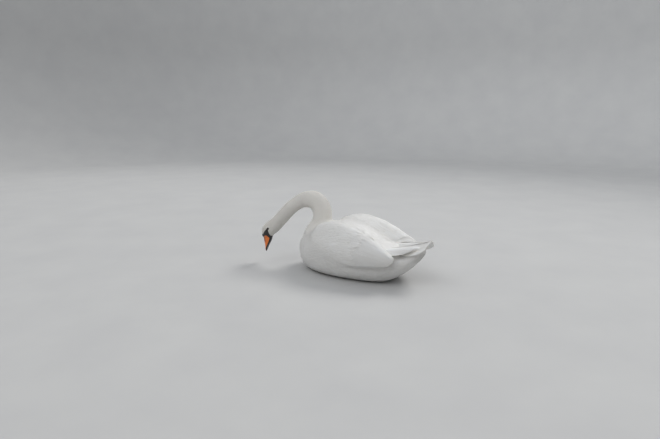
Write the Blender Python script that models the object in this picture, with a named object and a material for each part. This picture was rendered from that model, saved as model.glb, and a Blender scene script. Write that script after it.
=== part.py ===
"""A life-size mute swan lying on flat ground, its neck arched over and its bill held down.

The swan faces -Y with its left side towards +X. The floor is z = 0 and the origin is the middle of
the belly's resting flat. Every solid is one named object, closed, and GAP clear of its neighbours.
"""

import math

import bmesh
import bpy
import numpy as np
from mathutils import Vector

# ---------------------------------------------------------------- driving dimensions, in metres

GAP = 0.00035
SHARPEST = 3.0

# Trunk with its feathers: stations from breast to undertail coverts.
TRUNK_Y = [
    -0.374, -0.360, -0.335, -0.295, -0.250, -0.190, -0.110,
    -0.030, 0.050, 0.110, 0.160, 0.205, 0.245, 0.272,
]
TRUNK_HALF_WIDTH = [
    0.034, 0.068, 0.101, 0.133, 0.157, 0.176, 0.182,
    0.172, 0.150, 0.127, 0.105, 0.083, 0.063, 0.045,
]
TRUNK_MIDDLE_Z = [
    0.100, 0.098, 0.096, 0.095, 0.095, 0.092, 0.090,
    0.088, 0.084, 0.082, 0.084, 0.098, 0.124, 0.148,
]
TRUNK_TOP_Z = [
    0.132, 0.150, 0.171, 0.195, 0.219, 0.239, 0.241,
    0.221, 0.184, 0.158, 0.146, 0.148, 0.160, 0.171,
]
TRUNK_BOTTOM_Z = [
    0.064, 0.037, 0.012, -0.006, -0.012, -0.014, -0.014,
    -0.012, -0.009, -0.002, 0.021, 0.055, 0.094, 0.128,
]
TRUNK_BREAST_TIP = (0.0, -0.378, 0.099)
TRUNK_VENT_TIP = (0.0, 0.286, 0.164)
TRUNK_STATIONS = 24
TRUNK_SIDES = 30
TRUNK_UPPER_POWER = 2.3
TRUNK_LOWER_POWER = 2.4

# Neck and head: the line of their middles from inside the breast to the base of the bill.
NECK_X = [
    0.0000, 0.0000, 0.0000, 0.0000, 0.0000, 0.0030, 0.0130,
    0.0310, 0.0550, 0.0845, 0.0966, 0.1060, 0.1092, 0.1096,
]
NECK_Y = [
    -0.2860, -0.3040, -0.3180, -0.3000, -0.2720, -0.2680, -0.2980,
    -0.3490, -0.4030, -0.4720, -0.5020, -0.5250, -0.5326, -0.5342,
]
NECK_Z = [
    0.0600, 0.0960, 0.1350, 0.1760, 0.2240, 0.2860, 0.3270,
    0.3310, 0.2985, 0.2212, 0.1891, 0.1696, 0.1520, 0.1329,
]
NECK_HALF_DEPTH = [
    0.0520, 0.0600, 0.0610, 0.0550, 0.0470, 0.0490, 0.0470,
    0.0400, 0.0345, 0.0345, 0.0365, 0.0375, 0.0345, 0.0275,
]
NECK_HALF_WIDTH = [
    0.0520, 0.0580, 0.0580, 0.0550, 0.0470, 0.0430, 0.0410,
    0.0370, 0.0325, 0.0315, 0.0315, 0.0300, 0.0250, 0.0180,
]
HEAD_YAW = math.radians(22.0)
NECK_TURN_STATION = 4
NECK_TURN_END = 0.85
LINE_STEP = 0.004
NECK_SIDES = 22
NECK_LENGTHS = {
    "neck_lower": (0.00, 0.34, 11),
    "neck_middle": (0.34, 0.60, 10),
    "neck_upper": (0.60, 0.80, 7),
    "head": (0.80, 1.00, 12),
}

# Bill: measured from the middle of its base, along the bill and across it towards the culmen.
BILL_LENGTH = 0.0765
BILL_TILT = math.radians(6.3)
BILL_SIDES = 16
BILL_ALONG = [-0.005, 0.000, 0.012, 0.026, 0.040, 0.052, 0.062, 0.069]
BILL_CULMEN = [0.0210, 0.0205, 0.0185, 0.0150, 0.0105, 0.0070, 0.0052, 0.0044]
BILL_COMMISSURE = [-0.0175, -0.0175, -0.0165, -0.0135, -0.0085, -0.0048, -0.0024, -0.0014]
BILL_KEEL = [-0.0255, -0.0255, -0.0235, -0.0190, -0.0130, -0.0086, -0.0056, -0.0042]
BILL_HALF_WIDTH = [0.0165, 0.0165, 0.0162, 0.0158, 0.0155, 0.0152, 0.0138, 0.0105]
LOWER_BILL_NARROWING = 0.88
NAIL_START = 0.0700
KNOB_PLACE = (0.0020, 0.0215)
KNOB_RADII = (0.0120, 0.0100, 0.0090)

# Eyes: distance from the base of the bill, as places in the head's own plane.
EYE_RADIUS = 0.0070
EYE_BACK = 0.0470
EYE_RISE = -0.0070
EYE_OUT = 0.0256

# Folded wings: stations from the wrist to the tips, as four corners of the outer surface.
WING_Y = [-0.264, -0.240, -0.208, -0.158, -0.100, -0.040, 0.030, 0.090, 0.140, 0.180, 0.203, 0.212]
WING_LOWER_X = [0.144, 0.160, 0.175, 0.188, 0.190, 0.186, 0.178, 0.167, 0.157, 0.149, 0.143, 0.139]
WING_LOWER_Z = [0.122, 0.124, 0.123, 0.117, 0.106, 0.092, 0.085, 0.091, 0.098, 0.106, 0.118, 0.130]
WING_SIDE_X = [0.138, 0.156, 0.176, 0.192, 0.197, 0.195, 0.186, 0.174, 0.163, 0.153, 0.146, 0.140]
WING_SIDE_Z = [0.140, 0.150, 0.156, 0.156, 0.152, 0.145, 0.140, 0.137, 0.135, 0.134, 0.136, 0.138]
WING_RIDGE_X = [0.118, 0.128, 0.129, 0.124, 0.123, 0.124, 0.125, 0.127, 0.129, 0.131, 0.133, 0.135]
WING_RIDGE_Z = [0.166, 0.196, 0.233, 0.255, 0.266, 0.258, 0.240, 0.213, 0.187, 0.165, 0.153, 0.147]
WING_INNER_X = [0.086, 0.088, 0.081, 0.062, 0.050, 0.046, 0.050, 0.062, 0.083, 0.103, 0.116, 0.125]
WING_INNER_Z = [0.186, 0.212, 0.239, 0.250, 0.250, 0.230, 0.193, 0.168, 0.154, 0.146, 0.143, 0.143]
WING_THICKNESS = [0.020, 0.035, 0.052, 0.069, 0.075, 0.075, 0.070, 0.055, 0.034, 0.018, 0.012, 0.008]
WING_CORE_X = [0.045, 0.045, 0.045, 0.045, 0.045, 0.045, 0.052, 0.070, 0.090, 0.103, 0.108, 0.112]
WING_CORE_Z = [0.110, 0.105, 0.105, 0.105, 0.105, 0.105, 0.100, 0.094, 0.088, 0.085, 0.086, 0.095]
SHOULDER_ROUNDNESS = 0.13
WING_STATIONS = 16
WING_SHARES = (0.0, 0.44, 8)
TERTIAL_SHARES = (0.44, 1.0, 9)

# Primaries: the long feathers whose tips show behind the folded wing, over the side of the tail.
PRIMARY_ROOT = (0.090, 0.150, 0.156)
PRIMARY_TIP = (0.050, 0.290, 0.190)
PRIMARY_HALF_WIDTH = 0.021
PRIMARY_HALF_THICKNESS = 0.0045
PRIMARY_LEAN = 0.5

# Tail: a shallow roof of feathers, raised from its root.
TAIL_ROOT = (0.105, 0.116)
TAIL_TIP = (0.318, 0.209)
TAIL_ALONG = [0.00, 0.20, 0.45, 0.70, 0.85, 0.95, 1.00]
TAIL_HALF_WIDTH = [0.045, 0.054, 0.063, 0.068, 0.062, 0.045, 0.020]
TAIL_HALF_THICKNESS = [0.024, 0.022, 0.016, 0.010, 0.007, 0.005, 0.004]
TAIL_DROOP = 0.040
TAIL_ROOF_POWER = 1.5
TAIL_SIDES = 18
TAIL_POINT = 1.03

# Legs, folded flat under the belly.
ANKLE = (0.058, 0.072)
TOE_ROOT = (0.064, -0.020)
TOE_ANGLES = [math.radians(-20.0), math.radians(2.0), math.radians(24.0)]
TOE_LENGTHS = [0.098, 0.132, 0.106]
TOE_HEIGHT = 0.0095
TOE_SPREAD = math.radians(4.0)
WEB_THICKNESS = 0.0034
WEB_SCALLOP = 0.016
FOOT_HEEL = 0.008
FOOT_SHARES = (0.0, 0.3, 0.6, 0.88, 1.0)
SHANK_RADIUS = 0.0080
SUNK = 0.0016

PLUMAGE = (0.86, 0.84, 0.80)
QUILLS = (0.88, 0.87, 0.84)
BILL_ORANGE = (0.80, 0.22, 0.05)
BARE_BLACK = (0.020, 0.019, 0.020)
FOOT_GREY = (0.040, 0.038, 0.040)
EYE_BROWN = (0.030, 0.016, 0.010)


# ---------------------------------------------------------------- helpers


def clear_scene():
    for old in list(bpy.data.objects):
        bpy.data.objects.remove(old, do_unlink=True)


def hermite(keys, values, tangents):
    """The cubic through values at rising keys, with the given slopes there."""

    def at(key):
        i = int(np.clip(np.searchsorted(keys, key) - 1, 0, len(keys) - 2))
        step = keys[i + 1] - keys[i]
        t = (key - keys[i]) / step
        rise = values[i] * (1 + 2 * t) * (1 - t) ** 2 + values[i + 1] * t * t * (3 - 2 * t)
        lean = tangents[i] * t * (1 - t) ** 2 - tangents[i + 1] * t * t * (1 - t)
        return float(rise + lean * step)

    return at


def through(keys, values):
    """A smooth function through values at rising keys, which never overshoots them."""
    keys = np.asarray(keys, float)
    values = np.asarray(values, float)
    step = np.diff(keys)
    slope = np.diff(values) / step
    tangents = np.zeros(len(keys))
    for i in range(1, len(keys) - 1):
        if slope[i - 1] * slope[i] > 0:
            before = 2 * step[i] + step[i - 1]
            after = step[i] + 2 * step[i - 1]
            tangents[i] = (before + after) / (before / slope[i - 1] + after / slope[i])
    tangents[0] = slope[0]
    tangents[-1] = slope[-1]
    return hermite(keys, values, tangents)


def flowing(keys, values):
    """A smooth function through values at rising keys, with rounded turns."""
    keys = np.asarray(keys, float)
    values = np.asarray(values, float)
    return hermite(keys, values, np.gradient(values, keys))


def superellipse(angle, power):
    """A point of the unit superellipse, from +X round towards +Z."""
    c = math.cos(angle)
    s = math.sin(angle)
    return math.copysign(abs(c) ** (2 / power), c), math.copysign(abs(s) ** (2 / power), s)


def material(name, color, roughness):
    made = bpy.data.materials.get(name)
    if made is None:
        made = bpy.data.materials.new(name)
        made.use_nodes = True
        shader = made.node_tree.nodes["Principled BSDF"]
        shader.inputs["Base Color"].default_value = (*color, 1.0)
        shader.inputs["Roughness"].default_value = roughness
        shader.inputs["Metallic"].default_value = 0.0
    return made


def as_object(name, bm, look):
    bmesh.ops.recalc_face_normals(bm, faces=bm.faces)
    mesh = bpy.data.meshes.new(name)
    bm.to_mesh(mesh)
    bm.free()
    made = bpy.data.objects.new(name, mesh)
    bpy.context.collection.objects.link(made)
    made.data.materials.append(material(*look))
    return made


def loft(rings, first_tip=None, last_tip=None):
    """A closed bmesh through rings of equal length, each end a point or a flat cap."""
    bm = bmesh.new()
    rows = [[bm.verts.new(Vector(p)) for p in ring] for ring in rings]
    count = len(rows[0])
    for a, b in zip(rows, rows[1:]):
        for i in range(count):
            j = (i + 1) % count
            bm.faces.new((a[i], a[j], b[j], b[i]))
    for row, tip in ((rows[0], first_tip), (rows[-1], last_tip)):
        middle = tip if tip is not None else sum((v.co for v in row), Vector()) / count
        peak = bm.verts.new(Vector(middle))
        for i in range(count):
            bm.faces.new((row[i], row[(i + 1) % count], peak))
    bmesh.ops.triangulate(bm, faces=bm.faces)
    bmesh.ops.recalc_face_normals(bm, faces=bm.faces)
    return bm


def swell(bm, amount):
    """Move the surface outwards by the same distance everywhere."""
    bm.normal_update()
    moves = [(v, v.normal * amount * min(v.calc_shell_factor(), SHARPEST)) for v in bm.verts]
    for v, move in moves:
        v.co += move
    return bm


def cut(target, cutter, operation="DIFFERENCE"):
    """Carve one object with another, which stays as a hidden cutter."""
    cutter.hide_render = True
    cutter.display_type = "WIRE"
    carve = target.modifiers.new(f"carve_{cutter.name}", "BOOLEAN")
    carve.operation = operation
    carve.solver = "EXACT"
    carve.object = cutter
    return carve


def apply_cuts(target, cutters):
    """Bake the carved shape of an object and drop the cutters that made it."""
    graph = bpy.context.evaluated_depsgraph_get()
    carved = bpy.data.meshes.new_from_object(target.evaluated_get(graph))
    target.modifiers.clear()
    target.data = carved
    for cutter in cutters:
        bpy.data.objects.remove(cutter, do_unlink=True)
    return target


def carve(target, *bodies):
    """Subtract swollen copies of the given bmeshes from an object."""
    cutters = []
    for number, bm in enumerate(bodies):
        cutter = as_object(f"cutter_{number}", bm, ("cutter", PLUMAGE, 0.8))
        cut(target, cutter)
        cutters.append(cutter)
    return apply_cuts(target, cutters)


def keep_largest(target):
    """Drop the crumbs that a cut leaves beside the main body."""
    bm = bmesh.new()
    bm.from_mesh(target.data)
    waiting = set(bm.verts)
    bodies = []
    while waiting:
        body = set()
        edge = [waiting.pop()]
        while edge:
            vert = edge.pop()
            body.add(vert)
            near = {link.other_vert(vert) for link in vert.link_edges} & waiting
            waiting -= near
            edge.extend(near)
        bodies.append(body)
    main = max(bodies, key=lambda body: sum(f.calc_area() for v in body for f in v.link_faces))
    crumbs = [v for body in bodies if body is not main for v in body]
    bmesh.ops.delete(bm, geom=crumbs, context="VERTS")
    bm.to_mesh(target.data)
    bm.free()


def half_block(point, normal):
    """A metre cube under the plane through a point, on the far side from its normal."""
    bm = bmesh.new()
    bmesh.ops.create_cube(bm, size=1.0)
    turn = Vector(normal).to_track_quat("Z", "X").to_matrix()
    for v in bm.verts:
        v.co = Vector(point) + turn @ (v.co - Vector((0, 0, 0.5)))
    return bm


def mirrored(bm):
    for v in bm.verts:
        v.co.x = -v.co.x
    bmesh.ops.reverse_faces(bm, faces=bm.faces)
    return bm


# ---------------------------------------------------------------- trunk


def trunk_ring(y):
    half_width = through(TRUNK_Y, TRUNK_HALF_WIDTH)(y)
    middle = through(TRUNK_Y, TRUNK_MIDDLE_Z)(y)
    top = through(TRUNK_Y, TRUNK_TOP_Z)(y)
    bottom = through(TRUNK_Y, TRUNK_BOTTOM_Z)(y)
    ring = []
    for i in range(TRUNK_SIDES):
        angle = math.tau * i / TRUNK_SIDES
        upper = angle < math.pi
        x, z = superellipse(angle, TRUNK_UPPER_POWER if upper else TRUNK_LOWER_POWER)
        height = middle + z * (top - middle if upper else middle - bottom)
        ring.append((half_width * x, y, max(height, 0.0)))
    return ring


def trunk_shape():
    first = TRUNK_Y[0]
    last = TRUNK_Y[-1]
    rings = []
    for i in range(TRUNK_STATIONS):
        share = i / (TRUNK_STATIONS - 1)
        eased = share - 0.07 * math.sin(math.tau * share)
        rings.append(trunk_ring(first + (last - first) * eased))
    return loft(rings, TRUNK_BREAST_TIP, TRUNK_VENT_TIP)


# ---------------------------------------------------------------- neck and head


class NeckLine:
    """The line of the neck and head, with its frame and thickness, by share of its length."""

    def __init__(self):
        points = np.stack([NECK_X, NECK_Y, NECK_Z], 1)
        chord = np.concatenate([[0.0], np.cumsum(np.linalg.norm(np.diff(points, axis=0), axis=1))])
        keys = chord / chord[-1]
        self.axes = [flowing(keys, points[:, k]) for k in range(3)]
        self.depth = through(keys, NECK_HALF_DEPTH)
        self.width = through(keys, NECK_HALF_WIDTH)
        self.turn_start = keys[NECK_TURN_STATION]

    def middle(self, share):
        return Vector([axis(share) for axis in self.axes])

    def frame(self, share):
        """Direction along the neck, sideways to the swan's left, and outwards over its back."""
        behind = self.middle(max(share - LINE_STEP, 0.0))
        along = (self.middle(min(share + LINE_STEP, 1.0)) - behind).normalized()
        turned = (share - self.turn_start) / (NECK_TURN_END - self.turn_start)
        yaw = HEAD_YAW * min(max(turned, 0.0), 1.0)
        left = Vector((math.cos(yaw), math.sin(yaw), 0.0))
        left = (left - along * left.dot(along)).normalized()
        return along, left, left.cross(along)

    def ring(self, share):
        _, left, back = self.frame(share)
        middle = self.middle(share)
        width = self.width(share)
        depth = self.depth(share)
        ring = []
        for i in range(NECK_SIDES):
            angle = math.tau * i / NECK_SIDES
            aside = left * (width * math.cos(angle))
            ring.append(middle + aside + back * (depth * math.sin(angle)))
        return ring

    def length(self, start, end, stations):
        """The solid between two shares of the line, GAP short of the next one."""
        rings = [self.ring(start + (end - start) * i / (stations - 1)) for i in range(stations)]
        along = self.frame(end)[0]
        rings[-1] = [p - along * GAP for p in rings[-1]]
        return loft(rings)


def head_axes(line):
    """Origin and axes of the bill: down its length, towards its culmen, and to the swan's left."""
    ahead = Vector((math.sin(HEAD_YAW), -math.cos(HEAD_YAW), 0.0))
    left = Vector((math.cos(HEAD_YAW), math.sin(HEAD_YAW), 0.0))
    down = ahead * math.sin(BILL_TILT) - Vector((0, 0, 1)) * math.cos(BILL_TILT)
    culmen = ahead * math.cos(BILL_TILT) + Vector((0, 0, 1)) * math.sin(BILL_TILT)
    return line.middle(1.0), down, culmen, left


def in_head(axes, along, across, aside):
    origin, down, culmen, left = axes
    return origin + down * along + culmen * across + left * aside


# ---------------------------------------------------------------- bill, knob and eyes


def upper_bill_ring(axes, along):
    """A rounded arch over a flat palate."""
    top = through(BILL_ALONG, BILL_CULMEN)(along)
    floor = through(BILL_ALONG, BILL_COMMISSURE)(along) + GAP
    half = through(BILL_ALONG, BILL_HALF_WIDTH)(along)
    arch = BILL_SIDES * 2 // 3
    ring = []
    for i in range(arch):
        angle = math.pi * i / (arch - 1)
        x, z = superellipse(angle, 2.2)
        ring.append(in_head(axes, along + GAP, floor + (top - floor) * z, half * x))
    flat = BILL_SIDES - arch
    for i in range(flat):
        share = (i + 1) / (flat + 1)
        ring.append(in_head(axes, along + GAP, floor, half * (2 * share - 1)))
    return ring


def lower_bill_ring(axes, along):
    """A shallow trough under the commissure."""
    top = through(BILL_ALONG, BILL_COMMISSURE)(along)
    keel = through(BILL_ALONG, BILL_KEEL)(along)
    half = through(BILL_ALONG, BILL_HALF_WIDTH)(along) * LOWER_BILL_NARROWING
    arch = BILL_SIDES * 2 // 3
    ring = []
    for i in range(arch):
        angle = math.pi * i / (arch - 1)
        x, z = superellipse(angle, 2.4)
        ring.append(in_head(axes, along + GAP, top - (top - keel) * z, half * x))
    flat = BILL_SIDES - arch
    for i in range(flat):
        share = (i + 1) / (flat + 1)
        ring.append(in_head(axes, along + GAP, top, half * (2 * share - 1)))
    return ring


def bill_shape(axes, ring_at):
    """One half of the bill, starting a little inside the face, which trims it."""
    first = BILL_ALONG[0]
    return loft([ring_at(axes, first + (BILL_ALONG[-1] - first) * i / 8) for i in range(9)])


def ball(axes, centre, radii, segments=12):
    """An ellipsoid whose radii lie along, across and beside the bill."""
    bm = bmesh.new()
    bmesh.ops.create_uvsphere(bm, u_segments=segments, v_segments=segments * 3 // 4, radius=1.0)
    for v in bm.verts:
        places = [middle + radius * unit for middle, radius, unit in zip(centre, radii, v.co)]
        v.co = in_head(axes, *places)
    bmesh.ops.recalc_face_normals(bm, faces=bm.faces)
    return bm


def nail_shape(axes):
    """The rounded, slightly hooked tip that closes both halves of the bill."""
    rings = []
    for i in range(5):
        share = i / 4
        along = NAIL_START + (BILL_LENGTH - NAIL_START) * math.sin(share * math.pi / 2)
        size = math.cos(share * math.pi / 2 * 0.93)
        half = BILL_HALF_WIDTH[-1] * size
        top = -0.0006 + 0.0046 * size
        floor = -0.0022 - 0.0012 * size
        ring = []
        for k in range(12):
            x, z = superellipse(math.tau * k / 12, 2.2)
            ring.append(in_head(axes, along, (top + floor) / 2 + (top - floor) / 2 * z, half * x))
        rings.append(ring)
    return loft(rings)


def eye_centre(side):
    return (-EYE_BACK, EYE_RISE, EYE_OUT * side)


# ---------------------------------------------------------------- wings


def wing_corner(y, xs, zs):
    return np.array([flowing(WING_Y, xs)(y), flowing(WING_Y, zs)(y)])


def wing_ring(y, start, end, points):
    """A closed crescent over a share of the wing's width, from its lower edge up over the ridge."""
    lower = wing_corner(y, WING_LOWER_X, WING_LOWER_Z)
    side = wing_corner(y, WING_SIDE_X, WING_SIDE_Z)
    ridge = wing_corner(y, WING_RIDGE_X, WING_RIDGE_Z)
    inner = wing_corner(y, WING_INNER_X, WING_INNER_Z)
    core = wing_corner(y, WING_CORE_X, WING_CORE_Z)
    shoulder = (side + ridge) / 2 + (side - inner) * SHOULDER_ROUNDNESS
    corners = np.array([lower, side, shoulder, ridge, inner])
    chord = np.concatenate([[0.0], np.cumsum(np.linalg.norm(np.diff(corners, axis=0), axis=1))])
    across = flowing(chord, corners[:, 0])
    up = flowing(chord, corners[:, 1])
    thickness = through(WING_Y, WING_THICKNESS)(y)
    first = chord[-1] * start + (GAP if start > 0 else 0)
    outer = []
    for i in range(points):
        place = first + (chord[-1] * end - first) * i / (points - 1)
        outer.append(np.array([across(place), up(place)]))
    inside = []
    for point in reversed(outer):
        inward = core - point
        inside.append(point + inward / np.linalg.norm(inward) * thickness)
    return [(x, y, z) for x, z in outer + inside]


def wing_part(start, end, points):
    first = WING_Y[0]
    last = WING_Y[-1]
    stations = [first + (last - first) * i / (WING_STATIONS - 1) for i in range(WING_STATIONS)]
    return loft([wing_ring(y, start, end, points) for y in stations])


def wing_shape():
    """Coverts and flight feathers, from the lower edge up to the tertials."""
    return wing_part(*WING_SHARES)


def tertial_shape():
    """Scapulars and tertials, which cap the wing along its ridge."""
    return wing_part(*TERTIAL_SHARES)


def primary_shape():
    """A pointed blade with a slight upward curve."""
    root = Vector(PRIMARY_ROOT)
    reach = Vector(PRIMARY_TIP) - root
    rings = []
    for i in range(8):
        share = i / 7
        width = PRIMARY_HALF_WIDTH * (1 - share ** 3) + 0.004
        middle = root + reach * share - Vector((0, 0, 0.012)) * math.sin(math.pi * share)
        thick = PRIMARY_HALF_THICKNESS * (1 - 0.6 * share)
        ring = []
        for k in range(12):
            angle = math.tau * k / 12
            aside = math.cos(angle) * width
            lift = math.sin(angle) * thick - aside * PRIMARY_LEAN
            ring.append(middle + Vector((aside, 0, lift)))
        rings.append(ring)
    return loft(rings)


# ---------------------------------------------------------------- tail


def tail_shape():
    root = Vector((0, *TAIL_ROOT))
    reach = Vector((0, *TAIL_TIP)) - root
    up = Vector((0, -reach.z, reach.y)).normalized()
    rings = []
    for i in range(12):
        share = i / 11
        width = through(TAIL_ALONG, TAIL_HALF_WIDTH)(share)
        thick = through(TAIL_ALONG, TAIL_HALF_THICKNESS)(share)
        droop = TAIL_DROOP * (0.4 + 0.6 * share) * (width / max(TAIL_HALF_WIDTH)) ** TAIL_ROOF_POWER
        ring = []
        for k in range(TAIL_SIDES):
            x, z = superellipse(math.tau * k / TAIL_SIDES, 2.2)
            lift = thick * z - droop * abs(x) ** TAIL_ROOF_POWER
            ring.append(root + reach * share + Vector((width * x, 0, 0)) + up * lift)
        rings.append(ring)
    return loft(rings, None, root + reach * TAIL_POINT)


# ---------------------------------------------------------------- legs


def rod(start, end, radii, sides=8):
    """A tapered, round-ended rod between two points of the plan, sunk a little into the floor."""
    start = Vector((*start, radii[0] - SUNK))
    end = Vector((*end, radii[1] - SUNK))
    along = (end - start).normalized()
    side = Vector((along.y, -along.x, 0)).normalized()
    up = side.cross(along)
    rings = []
    for share, size in ((0.0, 0.6), (0.05, 0.93), (0.14, 1.0), (1.0, 1.0)):
        radius = (radii[0] + (radii[1] - radii[0]) * share) * size
        middle = start.lerp(end, share)
        turns = [math.tau * k / sides for k in range(sides)]
        rings.append([middle + (side * math.cos(t) + up * math.sin(t)) * radius for t in turns])
    return loft(rings)


def foot_ring(angle, length, heights):
    """One slice of the foot through the root of the toes: out along the top, back along the floor."""
    root = Vector((*TOE_ROOT, 0))
    ahead = Vector((math.sin(angle), -math.cos(angle), 0))
    places = [FOOT_HEEL + (length - FOOT_HEEL) * share for share in FOOT_SHARES]
    top = [root + ahead * place + Vector((0, 0, height)) for place, height in zip(places, heights)]
    floor = [root + ahead * place for place in places]
    return top + floor[::-1]


def foot_shape():
    """Three toes as ridges on a web with a scalloped front edge, flat on the floor."""
    toe_heights = [TOE_HEIGHT * (1 - 0.45 * share ** 2) for share in FOOT_SHARES]
    web_heights = [WEB_THICKNESS] * len(FOOT_SHARES)
    rings = []
    for number, (angle, length) in enumerate(zip(TOE_ANGLES, TOE_LENGTHS)):
        rings.append(foot_ring(angle - TOE_SPREAD, length - 0.003, web_heights))
        rings.append(foot_ring(angle, length, toe_heights))
        rings.append(foot_ring(angle + TOE_SPREAD, length - 0.003, web_heights))
        if number + 1 < len(TOE_ANGLES):
            for share in (0.36, 0.64):
                between = angle + (TOE_ANGLES[number + 1] - angle) * share
                reach = length + (TOE_LENGTHS[number + 1] - length) * share
                dip = WEB_SCALLOP * math.sin(math.pi * share)
                rings.append(foot_ring(between, reach - dip, web_heights))
    return loft(rings)


def shank_shape():
    """A rod lying from the ankle to just inside the foot."""
    end = (TOE_ROOT[0], TOE_ROOT[1] - 0.012)
    return rod(ANKLE, end, (SHANK_RADIUS * 1.15, SHANK_RADIUS))


# ---------------------------------------------------------------- the swan


def both_sides(name, shape, look, carvers=lambda side: []):
    """The left piece and its mirror image, each carved by the bmeshes that carvers makes for it."""
    pieces = {}
    for side in ("left", "right"):
        bm = shape() if side == "left" else mirrored(shape())
        pieces[side] = as_object(f"{name}_{side}", bm, look)
        bodies = carvers(side)
        if bodies:
            carve(pieces[side], *bodies)
    return pieces


def sided(shape, side):
    return swell(shape() if side == "left" else mirrored(shape()), GAP)


def build_trunk_and_legs(plumage, skin):
    floor = half_block((0, 0, 0), (0, 0, 1))
    both_sides("foot", foot_shape, skin)
    both_sides("leg", shank_shape, skin, lambda side: [floor.copy(), sided(foot_shape, side)])
    recesses = [sided(shape, side) for shape in (shank_shape, foot_shape) for side in ("left", "right")]
    carve(as_object("trunk", trunk_shape(), plumage), *recesses)


def build_neck_and_head(line, axes, plumage, eye_look):
    sockets = [swell(ball(axes, eye_centre(side), [EYE_RADIUS] * 3), GAP) for side in (1, -1)]
    trims = {"neck_lower": [swell(trunk_shape(), GAP)], "head": sockets}
    for name, (start, end, stations) in NECK_LENGTHS.items():
        made = as_object(name, line.length(start, end, stations), plumage)
        if name in trims:
            carve(made, *trims[name])
    for name, side in (("eye_left", 1), ("eye_right", -1)):
        as_object(name, ball(axes, eye_centre(side), [EYE_RADIUS] * 3), eye_look)


def build_bill(line, axes, horn, black):
    head = swell(line.length(*NECK_LENGTHS["head"]), GAP)
    for name, ring_at in (("bill_upper", upper_bill_ring), ("bill_lower", lower_bill_ring)):
        carve(as_object(name, bill_shape(axes, ring_at), horn), head.copy())
    as_object("bill_nail", nail_shape(axes), black)
    knob = as_object("bill_knob", ball(axes, (*KNOB_PLACE, 0.0), KNOB_RADII), black)
    carve(knob, head, swell(bill_shape(axes, upper_bill_ring), GAP))


def build_wings_and_tail(plumage, quills):
    both_sides("wing", wing_shape, plumage, lambda side: [sided(trunk_shape, side)])
    both_sides("tertials", tertial_shape, quills, lambda side: [sided(trunk_shape, side)])
    around = [trunk_shape, wing_shape, tertial_shape, tail_shape]

    def neighbours(side):
        return [sided(shape, side) for shape in around]

    blades = both_sides("primaries", primary_shape, quills, neighbours)
    for blade in blades.values():
        keep_largest(blade)
    carve(as_object("tail", tail_shape(), quills), swell(trunk_shape(), GAP))


def build():
    clear_scene()
    line = NeckLine()
    axes = head_axes(line)
    plumage = ("plumage", PLUMAGE, 0.80)
    quills = ("flight_feathers", QUILLS, 0.65)
    horn = ("bill_horn", BILL_ORANGE, 0.38)
    black = ("bare_black_skin", BARE_BLACK, 0.45)
    eye_look = ("eye", EYE_BROWN, 0.08)
    skin = ("foot_skin", FOOT_GREY, 0.55)
    build_trunk_and_legs(plumage, skin)
    build_neck_and_head(line, axes, plumage, eye_look)
    build_bill(line, axes, horn, black)
    build_wings_and_tail(plumage, quills)


build()
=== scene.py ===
import math

import bmesh
import bpy
import numpy as np
from mathutils import Matrix, Vector
from mathutils.bvhtree import BVHTree
from mathutils.kdtree import KDTree


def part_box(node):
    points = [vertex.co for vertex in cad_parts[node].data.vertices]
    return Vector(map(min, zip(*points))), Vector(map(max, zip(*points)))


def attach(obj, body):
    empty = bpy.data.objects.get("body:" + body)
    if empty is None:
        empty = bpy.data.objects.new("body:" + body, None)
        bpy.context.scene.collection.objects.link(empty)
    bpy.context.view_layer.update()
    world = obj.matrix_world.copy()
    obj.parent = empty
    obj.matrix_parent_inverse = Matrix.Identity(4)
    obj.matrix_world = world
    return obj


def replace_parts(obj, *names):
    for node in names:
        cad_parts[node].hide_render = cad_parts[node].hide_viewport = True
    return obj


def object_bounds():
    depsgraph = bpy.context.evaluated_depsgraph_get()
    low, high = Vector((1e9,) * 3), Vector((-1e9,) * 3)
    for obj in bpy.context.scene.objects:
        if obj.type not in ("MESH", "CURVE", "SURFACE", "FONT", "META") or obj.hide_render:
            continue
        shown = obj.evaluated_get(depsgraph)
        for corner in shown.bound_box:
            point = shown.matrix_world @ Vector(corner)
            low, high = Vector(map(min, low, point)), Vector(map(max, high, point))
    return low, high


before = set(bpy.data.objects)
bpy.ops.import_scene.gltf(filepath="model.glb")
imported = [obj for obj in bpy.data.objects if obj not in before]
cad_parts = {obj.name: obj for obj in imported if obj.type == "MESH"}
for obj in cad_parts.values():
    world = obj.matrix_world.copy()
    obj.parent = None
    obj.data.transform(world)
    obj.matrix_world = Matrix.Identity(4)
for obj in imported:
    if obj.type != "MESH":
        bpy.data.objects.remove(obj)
CAD_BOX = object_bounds()
RNG = np.random.default_rng(11)

# ---- dimensions, in metres

# Middle line and radius of neck and head, as in the solids.
NECK_X = [0, 0, 0, 0, 0, 0.003, 0.013, 0.031, 0.055, 0.0845, 0.0966, 0.106, 0.1092, 0.1096]
NECK_Y = [-0.286, -0.304, -0.318, -0.3, -0.272, -0.268, -0.298,
          -0.349, -0.403, -0.472, -0.502, -0.525, -0.5326, -0.5342]
NECK_Z = [0.06, 0.096, 0.135, 0.176, 0.224, 0.286, 0.327,
          0.331, 0.2985, 0.2212, 0.1891, 0.1696, 0.152, 0.1329]
NECK_RADIUS = [0.052, 0.06, 0.06, 0.055, 0.047, 0.046, 0.044,
               0.0385, 0.0335, 0.033, 0.034, 0.034, 0.03, 0.023]
HEAD_YAW = math.radians(22.0)
BILL_TILT = math.radians(6.3)

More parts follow.
